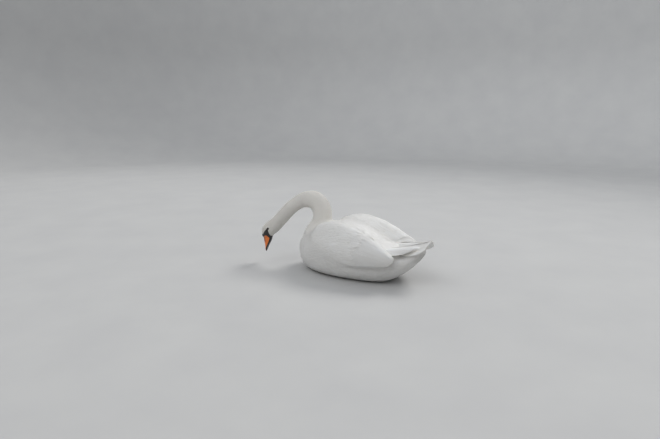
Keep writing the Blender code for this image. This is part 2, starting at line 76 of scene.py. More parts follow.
# Sections of the bill, by distance from its base.
BILL_LENGTH = 0.0765
BILL_ALONG = [-0.02, 0, 0.012, 0.026, 0.04, 0.052, 0.062, 0.069, 0.0765]
BILL_CULMEN = [0.0215, 0.0205, 0.0185, 0.015, 0.0105, 0.007, 0.0052, 0.0044, 0.003]
BILL_GAPE = [-0.018, -0.0175, -0.0165, -0.0135, -0.0085, -0.0048, -0.0024, -0.0014, -0.001]
BILL_KEEL = [-0.026, -0.0255, -0.0235, -0.019, -0.013, -0.0086, -0.0056, -0.0042, -0.003]
BILL_HALF = [0.017, 0.0165, 0.0162, 0.0158, 0.0155, 0.0152, 0.0138, 0.0105, 0.004]
NOSTRIL = (0.0235, 0.0084)
KNOB_PLACE = (0.0015, 0.0205)
KNOB_RADII = (0.0140, 0.0132, 0.0122)

# Edges of the bare black lore above and below, by share of the way from the eye to the bill's base.
LORE_UPPER = ([0, 0.106, 0.3, 0.5, 0.7, 0.883, 1, 1.3],
              [-0.005, 0.0012, 0.0085, 0.0145, 0.0192, 0.0232, 0.0255, 0.033])
LORE_LOWER = ([0, 0.187, 0.455, 0.82, 1.15, 1.3],
              [-0.0095, -0.0086, -0.0124, -0.0198, -0.0244, -0.027])
LORE_SOFT = 0.0016

# The eye: its ball, how far the ball fills its room, the cornea's rise and spread, and the share of
# the ball's radius that the iris takes up.
EYE_RADIUS = 0.0070
EYEBALL_FIT = 0.985
DOME = (0.05, 0.09)
IRIS = 0.68
# Black skin round the eye, and the ellipse that feathers keep off.
EYE_RING = 0.0065
EYE_CLEAR = 0.0069
# The opening of the lids, and half the width and thickness of their rolled edge.
LID_FRONT = 0.0056
LID_REAR = 0.0050
LID_HALF_HEIGHT = 0.0043
LID_ROLL = (0.00085, 0.00065)
# The skin sinks behind the ball in the opening, and slopes away from the lids over the face.
SOCKET_OPENING = 0.0046
SOCKET_RIM = 0.0062
SOCKET_SUNK = 0.0014
SOCKET_SLOPE = (0.0060, 0.0115)
SOCKET_REACH = 0.014

WINGS = ["wing_left", "wing_right", "tertials_left", "tertials_right"]
FLESH = ["trunk", "neck_lower", "neck_middle", "neck_upper", "head"] + WINGS
FACE = ["bill_upper", "bill_lower", "bill_knob"]
# The skin's cells, the reach that fills its slots, its start outside the solids, and the lowest
# heights of skin and feathers.
VOXEL = 0.0042
HEAL = 0.0060
SWELL = 0.0010
SKIN_FLOOR = 0.0028
COAT_FLOOR = 0.0004

# The small coat: places tried for roots, the length below which a feather is a tuft, and how far
# a tip may stand off the skin.
SAMPLES = 420000
TUFT_LENGTH = 0.0165
STAND_OFF = 0.008
# The folded wing: where it ends, the length of feathers there, the last place that a quill is cast
# to, the height of the axis that quills go round, and the quills' own crown and tilt.
WING_END = 0.202
WING_END_LENGTH = 0.0130
CAST_END = 0.200
WING_CORE_Z = 0.108
QUILL_CROWN = 0.0004
QUILL_TILT = 0.0005
# Scale of the vanes' map, size of a vane's patch in the bake, and the bake's margin.
UV_SCALE = 5
PATCH = 0.003
BAKE_EDGE = 0.004
SHARP_ANGLE = math.radians(55.0)

# The tail's roof: its base and its reach, and its half-width by share of its length.
TAIL_BASE = np.array([0.0, 0.105, 0.116])
TAIL_REACH = np.array([0.0, 0.213, 0.093])
TAIL_HALF = ([0, 0.2, 0.45, 0.7, 1], [0.045, 0.054, 0.063, 0.068, 0.068])

# ---- small helpers


def unit(v):
    return v / np.maximum(np.linalg.norm(v, axis=-1, keepdims=True), 1e-12)


def dot(a, b):
    return np.sum(a * b, axis=-1)


def smoothstep(low, high, x):
    t = np.clip((x - low) / (high - low), 0.0, 1.0)
    return t * t * (3 - 2 * t)


def bell(x, width):
    return np.exp(-(x / width) ** 2)


def curve(keys, values, at):
    """Smooth values through keys, for an array of places."""
    keys = np.asarray(keys, float)
    values = np.asarray(values, float)
    slopes = np.gradient(values, keys)
    at = np.clip(np.asarray(at, float), keys[0], keys[-1])
    i = np.clip(np.searchsorted(keys, at) - 1, 0, len(keys) - 2)
    step = keys[i + 1] - keys[i]
    t = (at - keys[i]) / step
    rise = values[i] * (1 + 2 * t) * (1 - t) ** 2 + values[i + 1] * t * t * (3 - 2 * t)
    return rise + (slopes[i] * t * (1 - t) ** 2 - slopes[i + 1] * t * t * (1 - t)) * step


def pulled(points, targets, limit):
    """Points moved towards their targets, each by no more than its limit."""
    pull = targets - points
    gap = np.linalg.norm(pull, axis=1)
    share = np.minimum(1.0, limit / np.maximum(gap, 1e-9))
    return points + pull * share[:, None], share


def add_object(name, data):
    made = bpy.data.objects.new(name, data)
    bpy.context.collection.objects.link(made)
    return made


def make_object(name, mesh, look):
    """A piece of the visual model, in one look."""
    made = add_object(name, mesh)
    mesh.materials.clear()
    mesh.materials.append(look)
    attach(made, "root")
    return made


def mesh_arrays(mesh):
    points = np.empty(len(mesh.vertices) * 3)
    mesh.vertices.foreach_get("co", points)
    edges = np.empty(len(mesh.edges) * 2, np.int32)
    mesh.edges.foreach_get("vertices", edges)
    return points.reshape(-1, 3), edges.reshape(-1, 2)


def set_points(mesh, points):
    mesh.vertices.foreach_set("co", points.ravel())
    mesh.update()


def vertex_normals(mesh):
    normals = np.empty(len(mesh.vertices) * 3)
    mesh.vertex_normals.foreach_get("vector", normals)
    return normals.reshape(-1, 3)


def set_smooth(mesh):
    mesh.polygons.foreach_set("use_smooth", np.ones(len(mesh.polygons), bool))
    mesh.update()


def triangle_mesh(name, points, triangles):
    mesh = bpy.data.meshes.new(name)
    mesh.vertices.add(len(points))
    mesh.vertices.foreach_set("co", np.ascontiguousarray(points, np.float32).ravel())
    mesh.loops.add(triangles.size)
    mesh.loops.foreach_set("vertex_index", np.ascontiguousarray(triangles, np.int32).ravel())
    mesh.polygons.add(len(triangles))
    mesh.polygons.foreach_set("loop_start", np.arange(0, triangles.size, 3, dtype=np.int32))
    mesh.update(calc_edges=True)
    set_smooth(mesh)
    return mesh


def set_uv(mesh, name, per_vertex):
    layer = mesh.uv_layers.new(name=name)
    index = np.empty(len(mesh.loops), np.int32)
    mesh.loops.foreach_get("vertex_index", index)
    layer.data.foreach_set("uv", np.ascontiguousarray(per_vertex[index], np.float32).ravel())


def set_float(mesh, name, values):
    made = mesh.attributes.new(name, "FLOAT", "POINT")
    made.data.foreach_set("value", np.ascontiguousarray(values, np.float32))


def ring_faces(rows, around, looped=0):
    """Quads between neighbouring rings, and from the last to the first if looped."""
    faces = []
    for r in range(rows - 1 + looped):
        for c in range(around):
            s, d = (r + 1) % rows, (c + 1) % around
            faces.append((r * around + c, r * around + d, s * around + d, s * around + c))
    return faces


def add_faces(bm, points, faces):
    verts = [bm.verts.new(p) for p in points.tolist()]
    for face in faces:
        bm.faces.new([verts[i] for i in face])
    return verts


# ---- neck line and head frame

LINE_KEYS = np.concatenate([[0.0], np.cumsum(np.linalg.norm(
    np.diff(np.stack([NECK_X, NECK_Y, NECK_Z], 1), axis=0), axis=1))])
LINE_KEYS = LINE_KEYS / LINE_KEYS[-1]
LINE_SHARES = np.linspace(0.0, 1.0, 161)
LINE = np.stack([curve(LINE_KEYS, axis, LINE_SHARES) for axis in (NECK_X, NECK_Y, NECK_Z)], 1)
LINE_ALONG = unit(np.gradient(LINE, axis=0))
LINE_RADIUS = curve(LINE_KEYS, NECK_RADIUS, LINE_SHARES)

AHEAD = np.array([math.sin(HEAD_YAW), -math.cos(HEAD_YAW), 0.0])
LEFT = np.array([math.cos(HEAD_YAW), math.sin(HEAD_YAW), 0.0])
DOWN = AHEAD * math.sin(BILL_TILT) - np.array([0, 0, 1.0]) * math.cos(BILL_TILT)
CULMEN = AHEAD * math.cos(BILL_TILT) + np.array([0, 0, 1.0]) * math.sin(BILL_TILT)
BILL_BASE = LINE[-1]
EYES = {side: np.mean([np.array(corner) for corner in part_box(f"eye_{side}")], axis=0)
        for side in ("left", "right")}


def in_head(along, across, aside):
    """Places given down the bill, towards the culmen and to the left, from the bill's base."""
    along, across, aside = np.broadcast_arrays(along, across, aside)
    return (BILL_BASE + along[..., None] * DOWN + across[..., None] * CULMEN
            + aside[..., None] * LEFT)


def head_places(points):
    away = points - BILL_BASE
    return away @ DOWN, away @ CULMEN, away @ LEFT


def neck_places(points):
    """Share of the neck line beside each point, distance from it in radii, and its index there."""
    index = np.empty(len(points), int)
    for start in range(0, len(points), 8000):
        part = points[start:start + 8000]
        gaps = np.linalg.norm(part[:, None] - LINE[None], axis=2)
        index[start:start + 8000] = np.argmin(gaps / LINE_RADIUS[None], axis=1)
    away = np.linalg.norm(points - LINE[index], axis=1)
    return LINE_SHARES[index], away / LINE_RADIUS[index], index


def eye_axes(side):
    """The ways out of, ahead of and across the eye's opening."""
    out = LEFT if side == "left" else -LEFT
    front = unit(DOWN + 0.25 * CULMEN)
    front = unit(front - out * np.dot(front, out))
    return out, front, np.cross(out, front)


def over_eye(points, reach):
    """True where a place lies on an eye's opening or its lids, out to a reach from its middle."""
    inside = np.zeros(len(points), bool)
    for side, centre in EYES.items():
        out, front, up = eye_axes(side)
        away = points - centre
        inside |= (np.hypot(away @ front, 1.2 * (away @ up)) < reach) & (away @ out > -0.002)
    return inside


# ---- materials


class Look:
    """A procedural material under construction."""

    def __init__(self, name, **sockets):
        self.material = bpy.data.materials.new(name)
        self.material.use_nodes = True
        self.tree = self.material.node_tree
        self.shader = self.tree.nodes["Principled BSDF"]
        for socket, value in sockets.items():
            self.shader.inputs[socket.replace("_", " ")].default_value = value

    def node(self, kind, inputs=None, **settings):
        """A new node, with a value or another node's output for each input."""
        made = self.tree.nodes.new(kind)
        for key, value in settings.items():
            setattr(made, key, value)
        for key, value in (inputs or {}).items():
            if isinstance(value, bpy.types.NodeSocket):
                self.tree.links.new(value, made.inputs[key])
            else:
                made.inputs[key].default_value = value
        return made

    def math(self, operation, a, b=0.0):
        return self.node("ShaderNodeMath", {0: a, 1: b}, operation=operation).outputs[0]

    def times(self, a, b):
        return self.math("MULTIPLY", a, b)

    def place(self):
        return self.node("ShaderNodeTexCoord").outputs["Object"]

    def noise(self, scale, detail=2.0, stretch=None):
        place = self.place()
        if stretch:
            mapping = self.node("ShaderNodeMapping", {"Vector": place, "Scale": stretch})
            place = mapping.outputs["Vector"]
        inputs = {"Vector": place, "Scale": scale, "Detail": detail, "Roughness": 0.55}
        return self.node("ShaderNodeTexNoise", inputs).outputs["Fac"]

    def cells(self, scale, feature="F1"):
        inputs = {"Vector": self.place(), "Scale": scale}
        return self.node("ShaderNodeTexVoronoi", inputs, feature=feature).outputs["Distance"]

    def ramp(self, factor, *stops):
        made = self.node("ShaderNodeValToRGB", {0: factor})
        elements = made.color_ramp.elements
        while len(elements) < len(stops):
            elements.new(0.5)
        for element, (place, color) in zip(elements, stops):
            element.position = place
            element.color = (*color, 1.0)
        return made.outputs[0]

    def mix(self, factor, a, b):
        a, b = ((*color, 1.0) if isinstance(color, tuple) else color for color in (a, b))
        return self.node("ShaderNodeMix", {0: factor, 6: a, 7: b}, data_type="RGBA").outputs[2]

    def attribute(self, name):
        return self.node("ShaderNodeAttribute", attribute_name=name).outputs["Fac"]

    def span(self, source, low, high, to_low=0.0, to_high=1.0):
        inputs = {0: source, 1: low, 2: high, 3: to_low, 4: to_high}
        return self.node("ShaderNodeMapRange", inputs, interpolation_type="SMOOTHSTEP").outputs[0]

    def black_mask(self, scale, detail, amount, low, high):
        """The black marking, with its edge broken up by noise."""
        ragged = self.times(self.math("SUBTRACT", self.noise(scale, detail), 0.5), amount)
        return self.span(self.math("ADD", self.attribute("black"), ragged), low, high)

    def bump(self, height, strength, distance, before=None):
        inputs = {"Height": height, "Strength": strength, "Distance": distance}
        if before is not None:
            inputs["Normal"] = before
        return self.node("ShaderNodeBump", inputs).outputs["Normal"]

    def finish(self, color, normal, roughness=None):
        for socket, source in (("Base Color", color), ("Normal", normal), ("Roughness", roughness)):
            if source is not None:
                self.tree.links.new(source, self.shader.inputs[socket])
        return self.material


def feather_look(name, white, shade, barb, roughness, barb_depth, groove_shade_amount):
    """Barbs that slant off a pale shaft, over faintly uneven white, with painted shade in the
    grooves between the barbs.
    """
    look = Look(name, Roughness=roughness, Sheen_Weight=0.25, Sheen_Roughness=0.45,
                Subsurface_Weight=0.25, Subsurface_Scale=0.008, Subsurface_Radius=(1.0, 0.85, 0.7))
    vane = look.node("ShaderNodeUVMap", uv_map="vane").outputs["UV"]
    split = look.node("ShaderNodeSeparateXYZ", {0: vane}).outputs
    across = look.math("ABSOLUTE", look.math("SUBTRACT", split[0], 0.5))
    slant = look.math("SUBTRACT", split[1], look.times(across, 1.1))
    wobble = look.times(look.noise(160.0), 0.010)
    phase = look.times(look.math("ADD", slant, wobble), barb)
    barbs = look.math("ABSOLUTE", look.math("SINE", phase))
    shaft = look.span(across, 0.0, 0.0055, 1.0, 0.0)
    base = look.mix(look.attribute("tint"), white, shade)
    base = look.mix(look.times(look.noise(22.0, 3.0), 0.22), base, shade)
    # painted shade: the colour darkens in the grooves between the barbs, where the bump is lowest
    painted_groove_shade = look.mix(look.times(look.math("SUBTRACT", 1.0, barbs), groove_shade_amount), base,
                       tuple(0.72 * c for c in shade))
    color = look.mix(look.times(shaft, 0.35), painted_groove_shade, (0.93, 0.90, 0.84))
    height = look.math("ADD", barbs, look.times(shaft, 1.5))
    return look.finish(color, look.bump(height, 0.55, barb_depth))


def skin_look():
    look = Look("skin", Roughness=0.55, Subsurface_Weight=0.1, Subsurface_Scale=0.004)
    mask = look.black_mask(900.0, 2.0, 0.35, 0.42, 0.58)
    # the pale skin is partly its own colour and partly painted shade: it is greyed so that where it
    # shows between the feathers it looks like the shade in the gaps
    pale = look.ramp(look.noise(60.0, 4.0), (0.2, (0.78, 0.765, 0.74)), (0.8, (0.84, 0.825, 0.80)))
    dark = look.ramp(look.noise(400.0, 3.0), (0.3, (0.012, 0.011, 0.012)),
                     (0.8, (0.035, 0.033, 0.034)))
    normal = look.bump(look.cells(900.0), 0.35, 0.0006)
    normal = look.bump(look.noise(260.0, 4.0), 0.3, 0.0008, normal)
    return look.finish(look.mix(mask, pale, dark), normal, look.span(mask, 0.0, 1.0, 0.75, 0.42))


def horn_look():
    look = Look("bill_horn", Roughness=0.36, Coat_Weight=0.15, Coat_Roughness=0.25,
                Specular_IOR_Level=0.5, Subsurface_Weight=0.08, Subsurface_Scale=0.003)
    mask = look.black_mask(700.0, 3.0, 0.30, 0.40, 0.60)
    orange = look.ramp(look.noise(110.0, 4.0), (0.2, (0.62, 0.125, 0.022)),
                       (0.5, (0.76, 0.19, 0.035)), (0.85, (0.84, 0.27, 0.065)))
    dark = look.ramp(look.noise(300.0, 3.0), (0.3, (0.010, 0.009, 0.010)),
                     (0.8, (0.032, 0.029, 0.028)))
    streaks = look.bump(look.noise(420.0, 3.0, stretch=(1.0, 1.0, 0.22)), 0.30, 0.0007)
    normal = look.bump(look.noise(1500.0, 2.0), 0.20, 0.0003, streaks)
    rough = look.span(look.noise(240.0, 3.0), 0.2, 0.8, 0.28, 0.46)
    return look.finish(look.mix(mask, orange, dark), normal, rough)


def eye_look():
    look = Look("eye", Roughness=0.04, Coat_Weight=1.0, Coat_Roughness=0.02)
    ring = look.attribute("ring")
    fibres = look.noise(1400.0, 3.0)
    brown = look.ramp(fibres, (0.25, (0.016, 0.007, 0.004)), (0.75, (0.050, 0.022, 0.010)))
    iris = look.mix(look.span(ring, 0.36, 0.44), (0.004, 0.004, 0.004), brown)
    color = look.mix(look.span(ring, 0.72, 0.92), iris, (0.010, 0.007, 0.006))
    return look.finish(color, look.bump(fibres, 0.05, 0.0001))


def foot_look():
    look = Look("foot_skin", Roughness=0.5)
    scales = look.span(look.cells(420.0, "DISTANCE_TO_EDGE"), 0.0, 0.12)
    base = look.ramp(look.noise(90.0, 4.0), (0.3, (0.022, 0.021, 0.022)),
                     (0.8, (0.062, 0.058, 0.056)))
    seams = look.times(look.math("SUBTRACT", 1.0, scales), 0.7)
    rough = look.span(look.noise(150.0), 0.2, 0.8, 0.42, 0.62)
    color = look.mix(seams, base, (0.010, 0.010, 0.010))
    return look.finish(color, look.bump(scales, 0.5, 0.0007), rough)


def floor_look():
    look = Look("floor", Roughness=0.8)
    color = look.ramp(look.noise(3.0, 3.0), (0.3, (0.47, 0.47, 0.47)), (0.7, (0.50, 0.50, 0.495)))
    return look.finish(color, look.bump(look.noise(220.0, 3.0), 0.15, 0.0006))


# ---- the skin


def gathered(names, swell=0.0):
    """One bmesh of several nodes, welded and swollen."""
    bm = bmesh.new()
    for name in names:
        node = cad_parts[name]
        mesh = node.data.copy()
        mesh.transform(node.matrix_world)
        bm.from_mesh(mesh)
        bpy.data.meshes.remove(mesh)
    bmesh.ops.remove_doubles(bm, verts=bm.verts, dist=1e-5)
    bm.normal_update()
    for v, move in [(v, v.normal * swell) for v in bm.verts]:
        v.co += move
    return bm


def voxel_union(bm, cell):
    """The outer surface of overlapping solids, as one mesh of even cells."""
    mesh = bpy.data.meshes.new("union")
    bm.to_mesh(mesh)
    bm.free()
    temporary = add_object("union", mesh)
    remesh = temporary.modifiers.new("voxels", "REMESH")
    remesh.mode = "VOXEL"
    remesh.voxel_size = cell
    graph = bpy.context.evaluated_depsgraph_get()
    made = bpy.data.meshes.new_from_object(temporary.evaluated_get(graph))
    bpy.data.objects.remove(temporary, do_unlink=True)
    bpy.data.meshes.remove(mesh)
    return made


def relax(points, edges, rounds, weights=1.0):
    """Laplacian smoothing of points that share edges, by the weight of each point."""
    count = np.bincount(edges.ravel(), minlength=len(points)).astype(float)[:, None]
    strength = 0.5 * np.reshape(weights, (-1, 1))
    for _ in range(rounds):
        total = np.zeros_like(points)
        for axis in range(3):
            total[:, axis] = (np.bincount(edges[:, 0], points[edges[:, 1], axis], len(points))
                              + np.bincount(edges[:, 1], points[edges[:, 0], axis], len(points)))
        points = points + (total / np.maximum(count, 1) - points) * strength
    return points


def swollen(mesh, rounds, reach, room=None):
    """Smooth a mesh, then move it out by the reach, where there is room; return its points."""
    points = relax(*mesh_arrays(mesh), rounds)
    set_points(mesh, points)
    share = room(points) if room else np.ones(len(points))
    points = points + vertex_normals(mesh) * (reach * share)[:, None]
    set_points(mesh, points)
    return points


def healed(mesh, room):
    """Fill slots narrower than twice the reach: swell, join, and shrink again."""
    swollen(mesh, 6, HEAL, room)
    bm = bmesh.new()
    bm.from_mesh(mesh)
    bpy.data.meshes.remove(mesh)
    mesh = voxel_union(bm, VOXEL)
    swollen(mesh, 6, -HEAL, room)
    return mesh


def refine(mesh, wanted):
    """Split the faces whose middle passes the test into four."""
    bm = bmesh.new()
    bm.from_mesh(mesh)
    centres = np.array([f.calc_center_median()[:] for f in bm.faces])
    bm.faces.ensure_lookup_table()
    edges = {e for i in np.flatnonzero(wanted(centres)) for e in bm.faces[i].edges}
    bmesh.ops.subdivide_edges(bm, edges=list(edges), cuts=1, use_grid_fill=True)
    bmesh.ops.triangulate(bm, faces=[f for f in bm.faces if len(f.verts) > 4])
    bm.to_mesh(mesh)
    bm.free()
    mesh.update()


def blend(distances, width):
    """The greatest of several signed distances, with rounded inner corners."""
    return width * np.log(sum(np.exp(np.clip(d / width, -30, 30)) for d in distances))


def lore_mask(points, margin=0.0):
    """1 in the bare black skin between the eye and the bill, round the knob, and at the gape."""
    along, across, aside = head_places(points)
    eye_along = float(np.dot(EYES["left"] - BILL_BASE, DOWN))
    reach = (along - eye_along) / (0.0 - eye_along)
    band = np.minimum.reduce([curve(*LORE_UPPER, reach) - across,
                              across - curve(*LORE_LOWER, reach),
                              along - eye_along, np.abs(aside) - 0.006])
    base = along + 0.0060
    knob = np.stack([along - 0.001, (across - 0.0210) * 0.95, aside * 1.05], 1)
    knob = 0.0155 - np.linalg.norm(knob, axis=1)
    rings = [EYE_RING - np.linalg.norm(points - centre, axis=1) for centre in EYES.values()]
    near = (np.abs(along) < 0.09) & (np.abs(across) < 0.05) & (np.abs(aside) < 0.045)
    inside = blend([band, base, knob] + rings, 0.0014) + margin
    return np.clip(0.5 + inside / LORE_SOFT, 0.0, 1.0) * near


def coat_depth(points, share, away):
    """How far the skin lies under the tips of the coat."""
    on_neck = smoothstep(1.7, 1.25, away) * smoothstep(0.10, 0.30, share)
    neck = curve([0, 0.3, 0.55, 0.8, 0.9, 1], [0.002, 0.0018, 0.0016, 0.0014, 0.001, 0.0008], share)
    body = 0.0024 - 0.0006 * smoothstep(0.02, 0.18, points[:, 1])
    depth = neck * on_neck + body * (1 - on_neck)
    bare = lore_mask(points)
    on_bill = smoothstep(0.0005, 0.0075, head_places(points)[0]) * ((share > 0.9) & (away < 3.5))
    return (depth * (1 - bare) + 0.0006 * bare) * (1 - on_bill) + 0.0030 * on_bill + SWELL


def lid_ring(side):
    """A rounded rim that follows the opening of the lids over the eyeball."""
    centre = EYES[side]
    out, front, up = eye_axes(side)
    turns = np.linspace(0, 2 * math.pi, 48, endpoint=False)
    a = np.where(np.cos(turns) > 0, LID_FRONT, LID_REAR) * np.cos(turns)
    b = LID_HALF_HEIGHT * np.sin(turns) * (1 - 0.12 * np.cos(turns) ** 2)
    path = centre + a[:, None] * front + b[:, None] * up
    ball = EYE_RADIUS + 0.0001
    path = path + out * np.sqrt(np.maximum(ball ** 2 - a ** 2 - b ** 2, 0))[:, None]
    along = unit(np.roll(path, -1, 0) - np.roll(path, 1, 0))
    lift = unit(path - centre)
    aside = np.cross(along, lift)
    around = np.linspace(0, 2 * math.pi, 12, endpoint=False)
    wide, thick = LID_ROLL
    points = np.array([path + aside * (wide * math.cos(turn)) + lift * (thick * math.sin(turn))
                       for turn in around])
    return points.reshape(-1, 3), ring_faces(*points.shape[:2], looped=1)


def off_head(points):
    """1 away from the head and upper neck, and 0 on them."""
    share, away, _ = neck_places(points)
    return 1 - smoothstep(0.70, 0.82, share) * smoothstep(2.6, 2.0, away)


def near_head(points):
    share, away, _ = neck_places(points)
    return (share > 0.84) & (away < 1.9)


def near_face(points):
    along, across, aside = head_places(points)
    eyes = np.min([np.linalg.norm(points - c, axis=1) for c in EYES.values()], axis=0)
    return (eyes < 0.015) | ((along > -0.045) & (along < 0.006) & (across > -0.03)
                             & (across < 0.045) & (np.abs(aside) < 0.05))


def make_skin():
    """One skin over all the flesh, inside the solids by the coat's depth."""
    bm = gathered(FLESH + FACE, SWELL)
    knob = np.eye(4)
    knob[:3, :3] = (np.stack([DOWN, CULMEN, LEFT]) * np.array(KNOB_RADII)[:, None]).T
    knob[:3, 3] = in_head(*KNOB_PLACE, 0.0)
    bmesh.ops.create_uvsphere(bm, u_segments=24, v_segments=14, radius=1.0,
                              matrix=Matrix(knob.tolist()))
    mesh = healed(voxel_union(bm, VOXEL), off_head)

    # smooth the body, and more the flank in front of the wing
    points, edges = mesh_arrays(mesh)
    share, away, _ = neck_places(points)
    body = 1 - smoothstep(1.9, 1.3, away) * smoothstep(0.15, 0.30, share)
    body *= 1 - 0.85 * smoothstep(0.04, 0.12, points[:, 1])
    body *= smoothstep(0.0, 0.03, points[:, 2])
    points = relax(points, edges, 14, body)
    x, y, z = points.T
    flank = smoothstep(0.19, 0.15, z) * smoothstep(0.02, 0.05, z)
    flank *= smoothstep(0.07, 0.10, np.abs(x)) * smoothstep(0.0, -0.08, y)
    flank *= smoothstep(-0.40, -0.36, y)
    set_points(mesh, relax(points, edges, 160, flank))

    for test, rounds in ((near_head, 8), (near_face, 6)):
        refine(mesh, test)
        points, edges = mesh_arrays(mesh)
        points = relax(points, edges, rounds, test(points).astype(float))
        set_points(mesh, points)
    share, away, _ = neck_places(points)
    points = points - vertex_normals(mesh) * coat_depth(points, share, away)[:, None]

    # eye sockets: the skin keeps just behind the eyeball's front and rises to the lids
    lid = math.sqrt(EYE_RADIUS ** 2 - SOCKET_RIM ** 2)
    for side, centre in EYES.items():
        out = eye_axes(side)[0]
        away = points - centre
        height = away @ out
        flat = np.linalg.norm(away - height[:, None] * out, axis=1)
        facing = (height > -0.004) & (flat < SOCKET_REACH)
        sunk = np.sqrt(np.maximum((EYE_RADIUS - SOCKET_SUNK) ** 2 - flat ** 2, 0))
        target = np.where(flat < SOCKET_OPENING, sunk, lid)
        weight = (1 - smoothstep(*SOCKET_SLOPE, flat)) * facing
        points = points + out * ((target - height) * weight)[:, None]
    points[:, 2] = np.maximum(points[:, 2], SKIN_FLOOR)
    set_points(mesh, points)
    set_float(mesh, "black", lore_mask(points, 0.0011))

    # the lids join the skin
    bm = bmesh.new()
    bm.from_mesh(mesh)
    layer = bm.verts.layers.float["black"]
    for side in EYES:
        for v in add_faces(bm, *lid_ring(side)):
            v[layer] = 1.0
    bmesh.ops.recalc_face_normals(bm, faces=bm.faces)
    bm.to_mesh(mesh)
    bm.free()
    set_smooth(mesh)
    skin = make_object("skin", mesh, skin_look())
    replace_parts(skin, *FLESH, "bill_knob")
    return skin


class Hide:
    """The skin's surface, for placing feathers on it."""

    def __init__(self, mesh):
        self.points, _ = mesh_arrays(mesh)
        mesh.calc_loop_triangles()
        triangles = np.empty(len(mesh.loop_triangles) * 3, np.int32)
        mesh.loop_triangles.foreach_get("vertices", triangles)
        self.triangles = triangles.reshape(-1, 3)
        self.tree = BVHTree.FromPolygons(self.points.tolist(), self.triangles.tolist())
        self.normals = unit(vertex_normals(mesh)[self.triangles].mean(axis=1))

    def corners(self, picked=slice(None)):
        return (self.points[self.triangles[picked, k]] for k in range(3))

    def nearest(self, points):
        found = [self.tree.find_nearest(p) for p in points.tolist()]
        places = np.array([f[0][:] for f in found])
        return places, self.normals[[f[2] for f in found]]

    def cast(self, origins, directions):
        """First hits from outside, along directions."""
        hits = [self.tree.ray_cast(Vector(o), Vector(d)) for o, d in zip(origins, directions)]
        places = np.array([h[0][:] if h[0] is not None else (np.nan,) * 3 for h in hits])
        normals = np.array([self.normals[h[2]] if h[0] is not None else (0, 0, 1) for h in hits])
        return places, normals

    def sample(self, density):
        """Random points on the triangles, by the density wanted at each triangle's middle."""
        a, b, c = self.corners()
        chance = np.linalg.norm(np.cross(b - a, c - a), axis=1) / 2 * density((a + b + c) / 3)
        picked = RNG.choice(len(chance), size=SAMPLES, p=chance / chance.sum())
        u = RNG.random(SAMPLES)
        v = RNG.random(SAMPLES)
        flip = u + v > 1
        u[flip], v[flip] = 1 - u[flip], 1 - v[flip]
        a, b, c = self.corners(picked)
        return a + (b - a) * u[:, None] + (c - a) * v[:, None], self.normals[picked]


# ---- feathers

# A vane's width at its root, as a share of its widest.
ROOT_WIDTH = 0.45
# Shapes of vanes: the share of the length where they begin to narrow, and how they end.
BLUNT = (0.78, 2.6, 0.50)
TUFT = (0.25, 1.4, 0.90)
SOFT = (0.42, 1.8, 0.60)
BLADE = (0.62, 2.0, 0.62)
TAIL = (0.80, 2.2, 0.52)


def outline(t, shape):
    """Half-width of a vane along its length, as a share of its widest."""
    start, power, roundness = shape
    rise = ROOT_WIDTH + (1 - ROOT_WIDTH) * np.minimum(t / start, 1.0) ** 0.8
    fall = (1 - np.clip((t - start) / (1 - start), 0, 1) ** power) ** roundness
    return rise * fall


def vane_stops(rows):
    return np.concatenate([[0.0], (np.arange(rows) + 0.75) / (rows + 0.1), [1.0]])


def vane_faces(rows, columns):
    """Triangles of one closed vane: root, rows of columns + 1 points, tip."""
    def at(row, column):
        return 1 + row * (columns + 1) + column

    tip = 1 + rows * (columns + 1)
    faces = []
    for c in range(columns):
        faces.append((0, at(0, c), at(0, c + 1)))
        faces.append((at(rows - 1, c + 1), at(rows - 1, c), tip))
    for r in range(rows - 1):
        for c in range(columns):
            a, b, d, e = at(r, c), at(r, c + 1), at(r + 1, c), at(r + 1, c + 1)
            faces += [(a, d, b), (b, d, e)]
        faces += [(at(r, 0), at(r, columns), at(r + 1, 0)),
                  (at(r, columns), at(r + 1, columns), at(r + 1, 0))]
    faces.append((0, at(0, columns), at(0, 0)))
    faces.append((at(rows - 1, 0), at(rows - 1, columns), tip))
    return np.array(faces)


